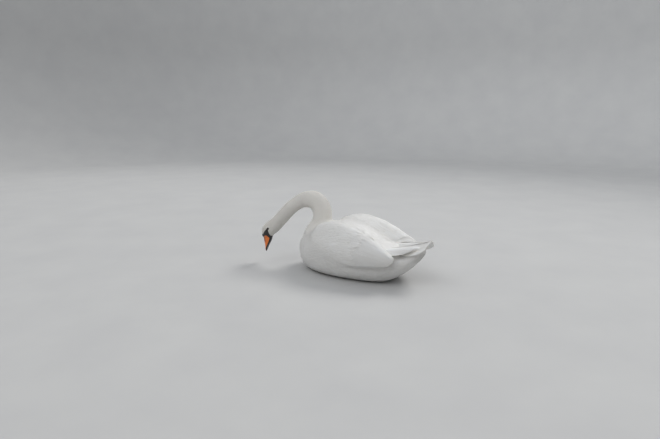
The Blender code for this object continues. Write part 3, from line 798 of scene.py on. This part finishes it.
class Coat:
    """The feathers of one coat piece."""

    def __init__(self):
        self.points, self.faces, self.vane, self.bake, self.tint = [], [], [], [], []
        self.count = 0

    def store(self, start, grid, end, half, length, bake):
        """Keep vanes given as root points, a grid by row, column and vane, and tips."""
        rows, across, count = grid.shape[:3]
        body = np.moveaxis(grid.reshape(-1, count, 3), 1, 0)
        points = np.concatenate([start[:, None], body, end[:, None]], axis=1)
        size = points.shape[1]
        offsets = self.count + np.arange(count)[:, None, None] * size
        t = np.concatenate([[0.0], np.repeat(vane_stops(rows)[1:-1], across), [1.0]])
        c = np.concatenate([[0.0], np.tile(np.linspace(-1, 1, across), rows), [0.0]])
        wide = np.pad(np.repeat(half[1:-1].T, across, axis=1), ((0, 0), (1, 1)))
        vane = np.stack([0.5 + UV_SCALE * c * wide, UV_SCALE * t * length[:, None]], axis=2)
        self.points.append(points.reshape(-1, 3))
        self.faces.append((vane_faces(rows, across - 1)[None] + offsets).reshape(-1, 3))
        self.vane.append(vane.reshape(-1, 2))
        self.bake.append((bake, PATCH * np.stack([c * 0.5, t - 0.5], 1)))
        self.tint.append(np.repeat(RNG.random(count), size))
        self.count += count * size

    def lay(self, hide, root, normal, heading, length, width, shape, low, high, crown,
            rows, columns, fray, stiff=0.35, camber=0.3, wide_fit=True, tilt=0.0):
        """Lay vanes from their roots along their headings, low at the root and high at the tip."""
        count = len(root)
        if not count:
            return
        length, width, low, high, crown = (np.broadcast_to(np.asarray(v, float), count)
                                           for v in (length, width, low, high, crown))
        stops = vane_stops(rows)
        middles = [root]
        normals = [normal]
        headings = [unit(heading - normal * dot(heading, normal)[:, None])]
        for before, after in zip(stops, stops[1:]):
            step = length * (after - before)
            guess = middles[-1] + headings[-1] * step[:, None]
            near, near_normal = hide.nearest(guess)
            place, share = pulled(guess, near, stiff * step)
            turned = unit(normals[-1] * (1.25 - share)[:, None] + near_normal * share[:, None])
            ahead = unit(place - middles[-1])
            middles.append(place)
            normals.append(turned)
            headings.append(unit(ahead - turned * dot(ahead, turned)[:, None]))
        middles, normals, headings = (np.array(v) for v in (middles, normals, headings))
        sides = np.cross(normals, headings)
        half = outline(stops, shape)[:, None] * width[None]
        jitter = 1 + fray * RNG.uniform(-1, 1, (len(stops), count, 2))
        left = middles - sides * (half * jitter[..., 0])[..., None]
        right = middles + sides * (half * jitter[..., 1])[..., None]
        if wide_fit:
            for edge in (left, right):
                flat = edge[1:-1].reshape(-1, 3)
                flat, _ = pulled(flat, hide.nearest(flat)[0], 0.45 * half[1:-1].reshape(-1))
                edge[1:-1] = flat.reshape(edge[1:-1].shape)
        height = low + (high - low) * stops[:, None]
        bend = (right + left - 2 * middles)[1:-1] / 2
        grid = np.empty((rows, columns + 1, count, 3))
        for c, place in enumerate(np.linspace(-1, 1, columns + 1)):
            spot = middles[1:-1] + (right - left)[1:-1] / 2 * place + bend * place ** 2
            rise = height[1:-1] + crown * (1 - place ** 2) - camber * half[1:-1] * place ** 2 * 0.3
            rise = rise + tilt * place
            slip = RNG.uniform(-1, 1, (rows, count)) * fray * 0.35 * length * (abs(place) > 0.99)
            grid[:, c] = spot + normals[1:-1] * rise[..., None] + headings[1:-1] * slip[..., None]
        start = middles[0] + normals[0] * height[0][:, None]
        slip = RNG.uniform(-1, 1, count) * fray * 0.4 * width
        end = middles[-1] + normals[-1] * height[-1][:, None] + sides[-1] * slip[:, None]
        self.store(start, grid, end, half, length, unwrap(root))

    def fan(self, roots, tips, ups, width, shape, arch):
        """Add free quills that follow no surface: each bends evenly between root and tip."""
        rows, columns, crown, fray = 18, 8, 0.0006, 0.03
        count = len(roots)
        stops = vane_stops(rows)
        reach = tips - roots
        ahead = unit(reach)
        ups = unit(ups - ahead * dot(ups, ahead)[:, None])
        sides = np.cross(ups, ahead)
        bow = 4 * arch * stops * (1 - stops)
        middles = roots[None] + reach[None] * stops[:, None, None] + ups[None] * bow[:, None, None]
        half = outline(stops, shape)[:, None] * np.full(count, width)[None]
        grid = np.empty((rows, columns + 1, count, 3))
        for c, place in enumerate(np.linspace(-1, 1, columns + 1)):
            edge = abs(place) > 0.99
            jitter = 1 + fray * RNG.uniform(-1, 1, (rows, count)) * edge
            rise = crown * (1 - place ** 2) - 0.03 * half[1:-1] * place ** 2
            slip = RNG.uniform(-1, 1, (rows, count)) * 0.0008 * edge
            grid[:, c] = (middles[1:-1] + sides[None] * (half[1:-1] * place * jitter)[..., None]
                          + ups[None] * rise[..., None] + ahead[None] * slip[..., None])
        length = np.linalg.norm(reach, axis=1)
        self.store(middles[0], grid, middles[-1], half, length, unwrap(roots + reach * 0.5))

    def finish(self, name, look, slot, *nodes):
        points = np.concatenate(self.points)
        points[:, 2] = np.maximum(points[:, 2], COAT_FLOOR)
        mesh = triangle_mesh(name, points, np.concatenate(self.faces))
        mesh.set_sharp_from_angle(angle=SHARP_ANGLE)
        set_uv(mesh, "vane", np.concatenate(self.vane))
        roots = np.concatenate([bake for bake, _ in self.bake])
        low = roots.min(axis=0)
        size = np.maximum(roots.max(axis=0) - low, 1e-6)
        patches = [((BAKE_EDGE + (1 - 2 * BAKE_EDGE) * (bake - low) / size)[:, None]
                    + local[None]).reshape(-1, 2) for bake, local in self.bake]
        set_uv(mesh, "OFBake", np.concatenate(patches))
        set_float(mesh, "tint", np.concatenate(self.tint))
        made = make_object(name, mesh, look)
        if nodes:
            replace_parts(made, *nodes)


def unwrap(points):
    """The skin unrolled: round the body against its length, and round the neck above that."""
    share, away, index = neck_places(points)
    neck = (share > 0.2) & (away < 1.5)
    turn = np.arctan2(points[:, 2] - 0.10, points[:, 0]) / (2 * math.pi) + 0.5
    flat = np.stack([turn, 0.55 * (points[:, 1] - CAD_BOX[0][1]) / 0.9], 1)
    offset = points - LINE[index]
    along = LINE_ALONG[index]
    left = unit(LEFT - along * (along @ LEFT)[:, None])
    back = np.cross(left, along)
    rolled = np.arctan2(dot(offset, back), dot(offset, left)) / (2 * math.pi) + 0.5
    tall = np.stack([rolled, 0.56 + 0.44 * share], 1)
    return np.where(neck[:, None], tall, flat)


def lie(points, normals, share, away, index):
    """The way the coat lies: down the neck, over the breast and back along the body."""
    x, y, _ = points.T
    on_neck = smoothstep(1.75, 1.2, away) * smoothstep(0.12, 0.34, share)
    down = 1.5 * smoothstep(-0.24, -0.35, y) - 0.12 * smoothstep(-0.1, 0.1, y)
    aside = np.sign(x) * 0.25 * smoothstep(-0.22, -0.33, y)
    body = np.stack([aside, np.ones(len(points)), -down], 1)
    wing_end = smoothstep(0.45, 0.7, normals[:, 1]) * (np.abs(x) > 0.055) * (y > 0.14)
    body = body * (1 - wing_end[:, None]) + np.outer(wing_end * (y < 0.22), (0, 0, -1.0))
    way = -LINE_ALONG[index] * on_neck[:, None] * 1.5 + unit(body) * (1 - on_neck)[:, None]
    return unit(way - normals * dot(way, normals)[:, None])


def thin_out(points, radii):
    """A blue-noise choice of points, each with room of its own radius."""
    listed = points.tolist()
    tree = KDTree(len(listed))
    for i, p in enumerate(listed):
        tree.insert(p, i)
    tree.balance()
    gone = np.zeros(len(listed), bool)
    kept = []
    for i, radius in enumerate(radii.tolist()):
        if not gone[i]:
            kept.append(i)
            for _, j, _ in tree.find_range(listed[i], radius):
                gone[j] = True
    return np.array(kept)


def coat_sizes(points, wing):
    """Length of the feathers by place, and how much the place is on the neck."""
    share, away, _ = neck_places(points)
    on_neck = smoothstep(1.7, 1.25, away) * smoothstep(0.10, 0.26, share)
    neck = curve([0, 0.15, 0.3, 0.5, 0.75, 0.86, 0.93, 1],
                 [0.024, 0.02, 0.015, 0.012, 0.01, 0.0078, 0.0058, 0.0042], share)
    y = points[:, 1]
    body = curve([-0.38, -0.3, -0.15, 0.05, 0.2, 0.28],
                 [0.024, 0.027, 0.033, 0.038, 0.044, 0.042], y)
    wings = curve([-0.26, -0.18, -0.05, 0.08, 0.2], [0.026, 0.03, 0.042, 0.052, 0.05], y)
    body = np.where(wing, wings, body) * (1 - 0.62 * smoothstep(0.215, 0.250, y))
    return neck * on_neck + body * (1 - on_neck), on_neck


def feather_room(length, on_neck):
    """Least distance between roots."""
    return length * (0.117 + 0.041 * (1 - on_neck))


def on_wing(points):
    """True where the nearest solid is a wing."""
    verts, faces, wing = [], [], []
    for name in FLESH:
        bm = gathered([name])
        base = len(verts)
        verts += [v.co[:] for v in bm.verts]
        bm.verts.index_update()
        faces += [[base + v.index for v in f.verts] for f in bm.faces]
        wing += [name in WINGS] * len(bm.faces)
        bm.free()
    tree = BVHTree.FromPolygons(verts, faces)
    return np.array(wing)[[tree.find_nearest(p)[2] for p in points.tolist()]]


def wing_core(y):
    """Distance from the middle plane to the axis that the folded wing's quills go round."""
    return 0.060 + 0.045 * smoothstep(0.0, 0.19, y)


def scatter(hide):
    """Roots of the whole small coat with their sizes and regions."""
    def density(middles):
        return 1 / feather_room(*coat_sizes(middles, False)) ** 2

    points, normals = hide.sample(density)
    share, away, index = neck_places(points)
    wing = on_wing(points)
    x, y, z = points.T
    length, on_neck = coat_sizes(points, wing)
    length = np.where(wing & (y > 0.16) & (normals[:, 1] > 0.6), WING_END_LENGTH, length)
    length = np.where(wing & (y > 0.12), np.clip(WING_END - y, WING_END_LENGTH, length), length)
    spacing = feather_room(length, on_neck)
    heading = lie(points, normals, share, away, index)

    def ahead(reach):
        return points + heading * (length * reach)[:, None]

    # short by the eye, and none on the bill, the lore, the lids or under the quills
    reaches_eye = np.any([over_eye(ahead(reach), EYE_CLEAR) for reach in (0.5, 0.75, 1.0)], axis=0)
    length = np.where(reaches_eye, 0.5 * length, length)
    bare = (head_places(points)[0] > -0.002) & (share > 0.9) & (away < 2.5)
    for reach, limit in ((0.0, 0.75), (0.5, 0.45), (0.95, 0.35)):
        bare |= lore_mask(ahead(reach)) > limit
    for reach in (0.0, 0.35, 0.7, 1.1):
        bare |= over_eye(ahead(reach), EYE_CLEAR)
    turn = np.degrees(np.arctan2(z - WING_CORE_Z, np.abs(x) - wing_core(y)))
    edge = 0.020 + 0.045 * bell(turn - 85, 32)
    covered = wing & (turn > -14) & (turn < 112)
    covered &= (y + 0.5 * length > edge) & (length > WING_END_LENGTH)
    roots = dict(points=points, normals=normals, share=share, away=away, index=index, wing=wing,
                 length=length, on_neck=on_neck, spacing=spacing)
    roots = {name: values[~bare & ~covered] for name, values in roots.items()}
    kept = thin_out(roots["points"], roots.pop("spacing"))
    return {name: values[kept] for name, values in roots.items()}


def small_coat(hide, looks):
    """Tufts and soft contour feathers over the whole skin, in pieces by region."""
    roots = scatter(hide)
    points, normals, share, away, on_neck, wing = (
        roots[name] for name in ("points", "normals", "share", "away", "on_neck", "wing"))
    x, y, z = points.T
    heading = lie(points, normals, share, away, roots["index"])
    wander = RNG.normal(0, 0.10, len(heading))
    heading = unit(heading + np.cross(normals, heading) * wander[:, None])
    depth = coat_depth(points, share, away) - SWELL
    length = roots["length"] * RNG.uniform(0.9, 1.12, len(heading))
    # a feather that would stand off the body past an edge is a short one
    tips = points + heading * length[:, None]
    stands_off = np.linalg.norm(hide.nearest(tips)[0] - tips, axis=1) > STAND_OFF
    length = np.where(stands_off, 0.5 * length, length)
    width = length * (0.10 + 0.075 * smoothstep(0.012, 0.026, length))
    high = depth * RNG.uniform(0.80, 1.0, len(depth))
    neck = on_neck > 0.5
    trunk = ~wing & ~neck
    pieces = {
        "head_feathers": neck & (share > 0.875),
        "neck_feathers_upper": neck & (share <= 0.875) & (share > 0.66),
        "neck_feathers_middle": neck & (share <= 0.66) & (share > 0.44),
        "neck_feathers_lower": neck & (share <= 0.44),
        "wing_coverts_left": wing & ~neck & (x > 0),
        "wing_coverts_right": wing & ~neck & (x <= 0),
        "breast_feathers": trunk & (y < -0.20),
        "back_feathers": trunk & (y >= -0.20) & (z > 0.125),
        "belly_feathers": trunk & (y >= -0.20) & (z <= 0.125),
    }
    classes = (
        (length < TUFT_LENGTH, TUFT, dict(rows=2, columns=2, wide_fit=False, fray=0.15)),
        (length >= TUFT_LENGTH, SOFT, dict(rows=5, columns=4, fray=0.14, camber=0.1)),
    )
    for name, chosen in pieces.items():
        coat = Coat()
        for size, shape, settings in classes:
            pick = chosen & size
            crown = np.clip(length[pick] * 0.014, 0.00012, 0.0004)
            coat.lay(hide, points[pick], normals[pick], heading[pick], length[pick], width[pick],
                     shape, -0.0004, high[pick], crown, **settings)
        look = looks["down"] if name.startswith(("head", "neck")) else looks["contour"]
        coat.finish(name, look, "plumage")


# ---- flight feathers


def round_wing(hide, side, y, turn):
    """Points of the wing's surface at a place along the body and a turn about its core."""
    turn = np.radians(turn)
    ray = np.stack([side * np.cos(turn), np.zeros_like(y), np.sin(turn)], 1)
    core = np.stack([side * wing_core(y), y, np.full_like(y, WING_CORE_Z)], 1)
    far = np.where(turn > math.radians(105), 0.165, 0.3)
    places, normals = hide.cast(core + ray * far[:, None], -ray)
    missed = np.isnan(places[:, 0])
    if missed.any():
        places[missed], normals[missed] = hide.nearest((core + ray * 0.09)[missed])
    return places, normals


def quills(hide, coat, side, starts, ends, width, shape, low, high, **settings):
    """Long feathers between places given as (y, turn) on the wing."""
    start_y, start_turn = starts
    end_y, end_turn = ends
    cast_y = np.minimum(end_y, CAST_END)
    root, normal = round_wing(hide, side, start_y, start_turn)
    reach = round_wing(hide, side, cast_y, end_turn)[0] - root
    reach = reach * ((end_y - start_y) / np.maximum(cast_y - start_y, 1e-3))[:, None]
    coat.lay(hide, root, normal, reach, np.linalg.norm(reach, axis=1), width, shape, low, high,
             QUILL_CROWN, columns=6, camber=0.10, tilt=-side * QUILL_TILT, **settings)


# Layers of the folded wing: number, first and step of the start's y and turn, of the end's y and
# turn, the last end, half-width, shape, height at the root, and first and step of that at the tip.
WING_LAYERS = (
    # secondaries: nested strips under the tertials, tips stepping back along the rear edge
    (16, (-0.080, 0.003), (-18, 4.6), (0.150, 0.0046), (-12, 4.0), 0.1985, 0.0165, BLUNT,
     -0.0012, (0.0008, 0.00010)),
    # an under layer that reaches the wing's end all round the ridge
    (14, (-0.045, 0.002), (44, 5.4), (0.1985, -0.0010), (44, 5.4), 0.1985, 0.0150, BLADE,
     -0.0010, (0.0006, 0.0)),
    # tertials: long, broad, over the ridge and down its inner slope
    (10, (-0.075, -0.002), (46, 6.2), (0.2010, -0.0105), (46, 5.8), 0.2010, 0.0185, BLADE,
     -0.0008, (0.0022, 0.00012)),
)
# Scapulars, long soft feathers over the shoulder and ridge: where their ends stop, their length
# and their half-width.
SCAPULARS = ((0.088, 0.115, 0.0105), (0.052, 0.105, 0.0100), (0.018, 0.095, 0.0095))


def wing_quills(hide, looks, side, label):
    """The quills and scapulars of one folded wing."""
    coat = Coat()
    for number, *spans, last, width, shape, low, high in WING_LAYERS:
        k = np.arange(number)
        start_y, start_turn, end_y, end_turn, high = (a + b * k for a, b in (*spans, high))
        quills(hide, coat, side, (start_y, start_turn), (np.minimum(end_y, last), end_turn),
               width, shape, low, high, rows=16, stiff=0.22, fray=0.03)
    coat.finish(f"wing_quills_{label}", looks["quill"], "flight_feathers")
    coat = Coat()
    for layer, (last, reach, width) in enumerate(SCAPULARS):
        turns = np.arange(30, 122, 4.2) + 2.1 * (layer % 2)
        number = len(turns)
        arch = 1 - np.abs((turns - 80) / 50) ** 1.8
        ends = last - 0.050 + 0.050 * arch + RNG.uniform(-0.014, 0.014, number)
        end_turns = turns + RNG.uniform(-2, 2, number)
        quills(hide, coat, side, (ends - reach, turns - 2), (ends, end_turns),
               width, SOFT, -0.0004, 0.0030, rows=10, stiff=0.25, fray=0.08)
    coat.finish(f"scapulars_{label}", looks["contour"], "plumage")


def tail_core(look):
    """A thin smooth body inside the quills of the tail."""
    mesh = voxel_union(gathered(["tail"]), 0.0022)
    points = swollen(mesh, 5, -0.0030)
    set_smooth(mesh)
    set_uv(mesh, "vane", np.stack([0.5 + UV_SCALE * points[:, 0], UV_SCALE * points[:, 1]], 1))
    set_float(mesh, "tint", np.full(len(points), 0.5))
    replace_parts(make_object("tail_core", mesh, look), "tail")


def on_tail(share, place, lift):
    """Points of the tail's roof, by share of its length and of its half-width."""
    up = unit(np.array([0.0, -TAIL_REACH[2], TAIL_REACH[1]]))
    half = curve(*TAIL_HALF, share)
    droop = 0.040 * (0.4 + 0.6 * share) * np.abs(place) ** 1.5
    return (TAIL_BASE + share[:, None] * TAIL_REACH + (lift - droop)[:, None] * up
            + (place * half)[:, None] * np.array([1.0, 0.0, 0.0]))


def tail_feathers(looks):
    """A roof of quills, the middle pair longest and uppermost, with an under layer."""
    tail_core(looks["quill"])
    coat = Coat()
    up = unit(np.array([0.0, -TAIL_REACH[2], TAIL_REACH[1]]))
    for face, number in ((1, 21), (-1, 15)):
        place = np.linspace(-0.86, 0.86, number)
        place = place[np.argsort(-np.abs(place))]
        middle = 1 - np.abs(place)
        spread = 0.90 * place
        end = 1.0 - 0.26 * np.abs(spread) ** 2.4 - 0.03 * (face < 0)
        end += RNG.uniform(-0.008, 0.008, number)
        roots = on_tail(np.full(number, 0.19), place * 0.85, face * 0.019 + 0.004 * middle)
        tips = on_tail(end, spread * (1 - 0.22 * middle), face * 0.0007 + 0.0030 * middle)
        lean = np.sign(place) * 0.75 * np.sqrt(np.abs(place))
        ups = up + lean[:, None] * np.array([1.0, 0, 0])
        coat.fan(roots, tips, ups, 0.0125, TAIL, -0.003 * face)
    coat.finish("tail_quills", looks["quill"], "flight_feathers")


# The outer and inner slopes of the folded wing tip: number of primaries, middle of their roots and
# tips on the left, lean outwards, and how far they spread at the roots and at the tips.
PRIMARIES = ((7, (0.0997, 0.115, 0.1457), (0.0520, 0.287, 0.1815), 0.62, 0.0125, 0.0085),
             (5, (0.0703, 0.105, 0.1448), (0.0400, 0.280, 0.1840), -0.55, -0.0070, -0.0045))


def primary_feathers(looks, side, label):
    """The wing's longest feathers, reaching back over the side of the tail."""
    coat = Coat()
    mirror = np.array([side, 1, 1])
    for number, root, tip, lean, spread, tip_spread in PRIMARIES:
        root, tip = root * mirror, tip * mirror
        ahead = unit(tip - root)
        rise = unit(np.array([side * lean, 0.0, 0.80]))
        rise = unit(rise - ahead * np.dot(rise, ahead))
        aside = np.cross(ahead, rise)
        place = (np.linspace(1, -1, number) * side)[:, None]
        order = np.arange(number)[:, None]
        lift = rise * 0.0009 * (order - 3)
        tips = tip + aside * tip_spread * place - ahead * 0.0085 * (number - 1 - order) + lift
        ups = np.tile(rise, (number, 1))
        coat.fan(root + aside * spread * place + lift, tips, ups, 0.0095, BLADE, 0.001)
    coat.finish(f"primary_quills_{label}", looks["quill"], "flight_feathers", f"primaries_{label}")


# ---- bill, eyes, feet


def tube(name, rows, black):
    """A smooth closed tube through rings of equal length, with its black markings."""
    rows = np.asarray(rows)
    count, around = rows.shape[:2]
    points = np.concatenate([rows.reshape(-1, 3), rows[[0, -1]].mean(axis=1)])
    first, last = count * around, count * around + 1
    faces = ring_faces(count, around)
    for c in range(around):
        d = (c + 1) % around
        faces.append((c, first, d))
        faces.append(((count - 1) * around + c, (count - 1) * around + d, last))
    bm = bmesh.new()
    add_faces(bm, points, faces)
    bmesh.ops.recalc_face_normals(bm, faces=bm.faces)
    mesh = bpy.data.meshes.new(name)
    bm.to_mesh(mesh)
    bm.free()
    set_smooth(mesh)
    set_float(mesh, "black", np.append(np.broadcast_to(black, (count, around)), [1.0, 1.0]))
    return mesh


def superarc(turn, power):
    """Places on a rounded square, by turn."""
    c, s = np.cos(turn), np.sin(turn)
    return np.sign(c) * np.abs(c) ** (2 / power), np.sign(s) * np.abs(s) ** (2 / power)


def inner_places(count):
    """Even places from side to side, without the two ends."""
    return np.linspace(-1, 1, count + 2)[1:-1]


def upper_bill(hide, look):
    """Horn of the upper half: arched, with nostrils, tooth-combed edges and a rounded tip."""
    arch, palate, count = 56, 16, 90
    turns = np.linspace(0, math.pi, arch)
    x, z = superarc(turns, 2.15)
    flat = inner_places(palate)
    start = 0.0080 - 0.0200 * bell(np.minimum(turns, math.pi - turns) - 0.52, 0.46)
    rows, black = [], []
    for i in range(count):
        along = start + (BILL_LENGTH - 0.0008 - start) * (1 - (1 - i / (count - 1)) ** 1.15)
        top = curve(BILL_ALONG, BILL_CULMEN, along)
        gape = curve(BILL_ALONG, BILL_GAPE, along) + 0.0003
        half = curve(BILL_ALONG, BILL_HALF, along)
        across = gape + (top - gape) * z
        ahead, above = along - NOSTRIL[0], across - NOSTRIL[1]
        nostril = np.exp(-((ahead / 0.0052) ** 2 + (above / 0.0017) ** 2) ** 1.6)
        rim = np.exp(-((ahead / 0.0066) ** 2 + (above / 0.0030) ** 2) ** 2)
        # the comb along the cutting edge
        comb = 0.00022 * bell(across - gape, 0.0016) * np.sin(along * 2 * math.pi / 0.0016)
        comb = comb * (along > 0.006) * (along < 0.066)
        aside = half * x * (1 - 0.16 * nostril + 0.025 * rim) + np.sign(x) * comb
        ring = in_head(along, across, aside)
        if i < 40:
            # the root of the horn lies on the face and stays clear of the skin under it
            near, normal = hide.nearest(ring)
            weight = smoothstep(0.004, -0.003, along)[:, None]
            ring = ring * (1 - weight) + (near + normal * 0.0005) * weight
            near, normal = hide.nearest(ring)
            clear = dot(ring - near, normal)
            ring = ring + normal * np.maximum(0.0004 - clear, 0.0)[:, None]
        if i == 0:
            near, normal = hide.nearest(ring)
            ring = near - normal * 0.0010
        floor = in_head(along[0], gape[0] + 0.0012 * (1 - flat ** 2), half[0] * flat)
        rows.append(np.concatenate([ring, floor]))
        edge = np.clip(0.5 + (0.0022 - (across - gape)) / 0.0012, 0, 1)
        ridge = curve([0, 0.012, 0.026, 0.04], [0.012, 0.0106, 0.008, 0.006], along)
        patch = np.hypot((along - 0.015) / 0.0150, (across - ridge) / 0.0024)
        patch = np.clip(0.5 + (1 - patch) / 0.3, 0, 1)
        root = np.clip(0.5 + (0.0016 - (along - start)) / 0.0010, 0, 1)
        marks = np.maximum.reduce([edge, nostril, patch, root])
        black.append(np.concatenate([marks, np.ones(palate)]))
    mesh = tube("bill_upper_horn", rows, black)
    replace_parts(make_object("bill_upper_horn", mesh, look), "bill_upper")


def lower_bill(hide, look):
    """Horn of the lower half, black all over."""
    arch, lid_count, count = 40, 12, 70
    turns = np.linspace(0, math.pi, arch)
    x, z = superarc(turns, 2.3)
    flat = inner_places(lid_count)
    groove = 1 - 0.05 * bell((turns - math.pi / 2) % math.pi, 0.35)
    rows = []
    for i in range(count):
        along = -0.012 + (BILL_LENGTH - 0.003 + 0.012) * i / (count - 1)
        gape = curve(BILL_ALONG, BILL_GAPE, along)
        half = curve(BILL_ALONG, BILL_HALF, along) * 0.90
        across = gape - (gape - curve(BILL_ALONG, BILL_KEEL, along)) * z
        comb = 0.00018 * bell(across - gape, 0.0012) * math.sin(along * 2 * math.pi / 0.0015)
        ring = in_head(along, across, half * x * groove + np.sign(x) * comb)
        if along < 0.006:
            near, normal = hide.nearest(ring)
            weight = float(smoothstep(0.006, -0.004, along))
            ring = ring * (1 - weight) + (near + normal * (0.0004 - 0.0012 * (i == 0))) * weight
        lid = in_head(along, gape - 0.0006 * (1 - flat ** 2), half * flat)
        rows.append(np.concatenate([ring, lid]))
    mesh = tube("bill_lower_horn", rows, 1.0)
    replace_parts(make_object("bill_lower_horn", mesh, look), "bill_lower")


def nail(look):
    """The hard shield on the tip, overhanging a little."""
    around, count = 40, 22
    x, z = superarc(np.linspace(0, 2 * math.pi, around, endpoint=False), 2.3)
    rows = []
    for i in range(count):
        t = i / (count - 1)
        along = 0.0640 + 0.0128 * math.sin(t * math.pi / 2)
        size = math.cos(t * math.pi / 2 * 0.98) ** 0.75
        half = 0.0078 * size * (0.80 + 0.20 * min(1.0, t * 4))
        top = curve(BILL_ALONG, BILL_CULMEN, along) + 0.0006 * min(1.0, t * 6) * size
        floor = -0.0036 * size - 0.0002
        middle = (top + floor) / 2 - 0.0016 * t ** 3
        rows.append(in_head(along, middle + (top - floor) / 2 * z * (0.35 + 0.65 * size), half * x))
    mesh = tube("bill_tip_nail", rows, 1.0)
    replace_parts(make_object("bill_tip_nail", mesh, look), "bill_nail")


def eye(side, look):
    """A glossy ball with a slightly domed front."""
    bm = bmesh.new()
    bmesh.ops.create_icosphere(bm, subdivisions=5, radius=1.0)
    directions = np.array([v.co[:] for v in bm.verts])
    mesh = bpy.data.meshes.new(f"eyeball_{side}")
    bm.to_mesh(mesh)
    bm.free()
    facing = directions @ eye_axes(side)[0]
    dome = 1 + DOME[0] * bell(1 - facing, DOME[1])
    set_points(mesh, EYES[side] + directions * (EYE_RADIUS * EYEBALL_FIT * dome)[:, None])
    set_smooth(mesh)
    ring = np.sqrt(np.maximum(1 - facing ** 2, 0)) / IRIS
    set_float(mesh, "ring", np.where(facing > 0, ring, 2.0))
    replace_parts(make_object(f"eyeball_{side}", mesh, look), f"eye_{side}")


def webbed_foot(label, look):
    """Shank, toes and web as one scaly skin."""
    names = [f"leg_{label}", f"foot_{label}"]
    mesh = voxel_union(gathered(names, 0.0002), 0.0016)
    points = relax(*mesh_arrays(mesh), 3)
    points[:, 2] = np.maximum(points[:, 2], 0.0)
    set_points(mesh, points)
    set_smooth(mesh)
    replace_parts(make_object(f"webbed_foot_{label}", mesh, look), *names)


# ---- stage

FLOOR_RADIUS = 6.0
BEND_RADIUS = 2.0
WALL_TOP = 5.2
CAMERA_PLACE = (1.98, 1.217, 0.748)
CAMERA_PITCH = math.radians(11.73)
CAMERA_HEADING = math.radians(36.0)


def soft_light(name, place, spread, strength, color):
    """A sun that shines from a place towards the origin, with soft shadows."""
    data = bpy.data.lights.new(name, "SUN")
    data.angle = math.radians(spread)
    data.energy = strength
    data.color = color
    lamp = add_object(name, data)
    lamp.location = place
    lamp.rotation_euler = (-Vector(place)).to_track_quat("-Z", "Y").to_euler()


def make_stage():
    """A pale floor that bends up into a wall all round, two soft lights and an even sky."""
    profile = [(2.0, 0.0), (4.0, 0.0), (FLOOR_RADIUS, 0.0)]
    profile += [(FLOOR_RADIUS + BEND_RADIUS * math.sin(a), BEND_RADIUS - BEND_RADIUS * math.cos(a))
                for a in np.linspace(0.1, math.pi / 2, 14)]
    profile += [(FLOOR_RADIUS + BEND_RADIUS, WALL_TOP)]
    around = 96
    turns = np.linspace(0, 2 * math.pi, around, endpoint=False)
    points = [np.zeros((1, 3))]
    level = np.stack([np.cos(turns), np.sin(turns)], 1)
    points += [np.column_stack([radius * level, np.full(around, height)])
               for radius, height in profile]
    faces = [(0, 1 + c, 1 + (c + 1) % around) for c in range(around)]
    faces += [(1 + a, 1 + d, 1 + c, 1 + b) for a, b, c, d in ring_faces(len(profile), around)]
    mesh = bpy.data.meshes.new("floor")
    mesh.from_pydata(np.concatenate(points).tolist(), [], faces)
    set_smooth(mesh)
    floor = add_object("floor", mesh)
    mesh.materials.append(floor_look())
    soft_light("key", (-2.6, 0.75, 3.10), 24.0, 1.35, (1.0, 0.985, 0.96))
    soft_light("fill", (3.2, -0.6, 2.7), 50.0, 1.0, (0.96, 0.98, 1.0))
    world = bpy.data.worlds.new("studio")
    world.use_nodes = True
    sky = world.node_tree.nodes["Background"].inputs
    sky[0].default_value = (0.80, 0.82, 0.85, 1.0)
    sky[1].default_value = 0.85
    bpy.context.scene.world = world
    bpy.context.scene.view_settings.view_transform = "Standard"


def make_camera():
    """The photo's camera, level from side to side."""
    level = Vector((-math.cos(CAMERA_HEADING), -math.sin(CAMERA_HEADING), 0.0))
    forward = level * math.cos(CAMERA_PITCH) - Vector((0, 0, 1)) * math.sin(CAMERA_PITCH)
    right = Vector((level.y, -level.x, 0.0))
    up = right.cross(forward)
    data = bpy.data.cameras.new("camera")
    data.lens = 28.0
    data.sensor_width = 36.0
    camera = add_object("camera", data)
    placed = Matrix((right, up, -forward)).transposed().to_4x4()
    placed.translation = Vector(CAMERA_PLACE)
    camera.matrix_world = placed
    bpy.context.scene.camera = camera


# ---- the swan

make_camera()
make_stage()
LOOKS = {
    "down": feather_look("plumage_neck", (0.94, 0.92, 0.88), (0.91, 0.88, 0.83),
                         900.0, 0.62, 0.00008, 0.02),
    "contour": feather_look("plumage_body", (0.91, 0.895, 0.865), (0.86, 0.84, 0.805),
                            700.0, 0.60, 0.00025, 0.07),
    "quill": feather_look("quills", (0.91, 0.90, 0.875), (0.86, 0.845, 0.815),
                          640.0, 0.52, 0.0003, 0.08),
}
hide = Hide(make_skin().data)
small_coat(hide, LOOKS)
for side, label in ((1, "left"), (-1, "right")):
    wing_quills(hide, LOOKS, side, label)
    primary_feathers(LOOKS, side, label)
tail_feathers(LOOKS)
horn = horn_look()
upper_bill(hide, horn)
lower_bill(hide, horn)
nail(horn)
eyes = eye_look()
for side in ("left", "right"):
    eye(side, eyes)
foot = foot_look()
for label in ("left", "right"):
    webbed_foot(label, foot)
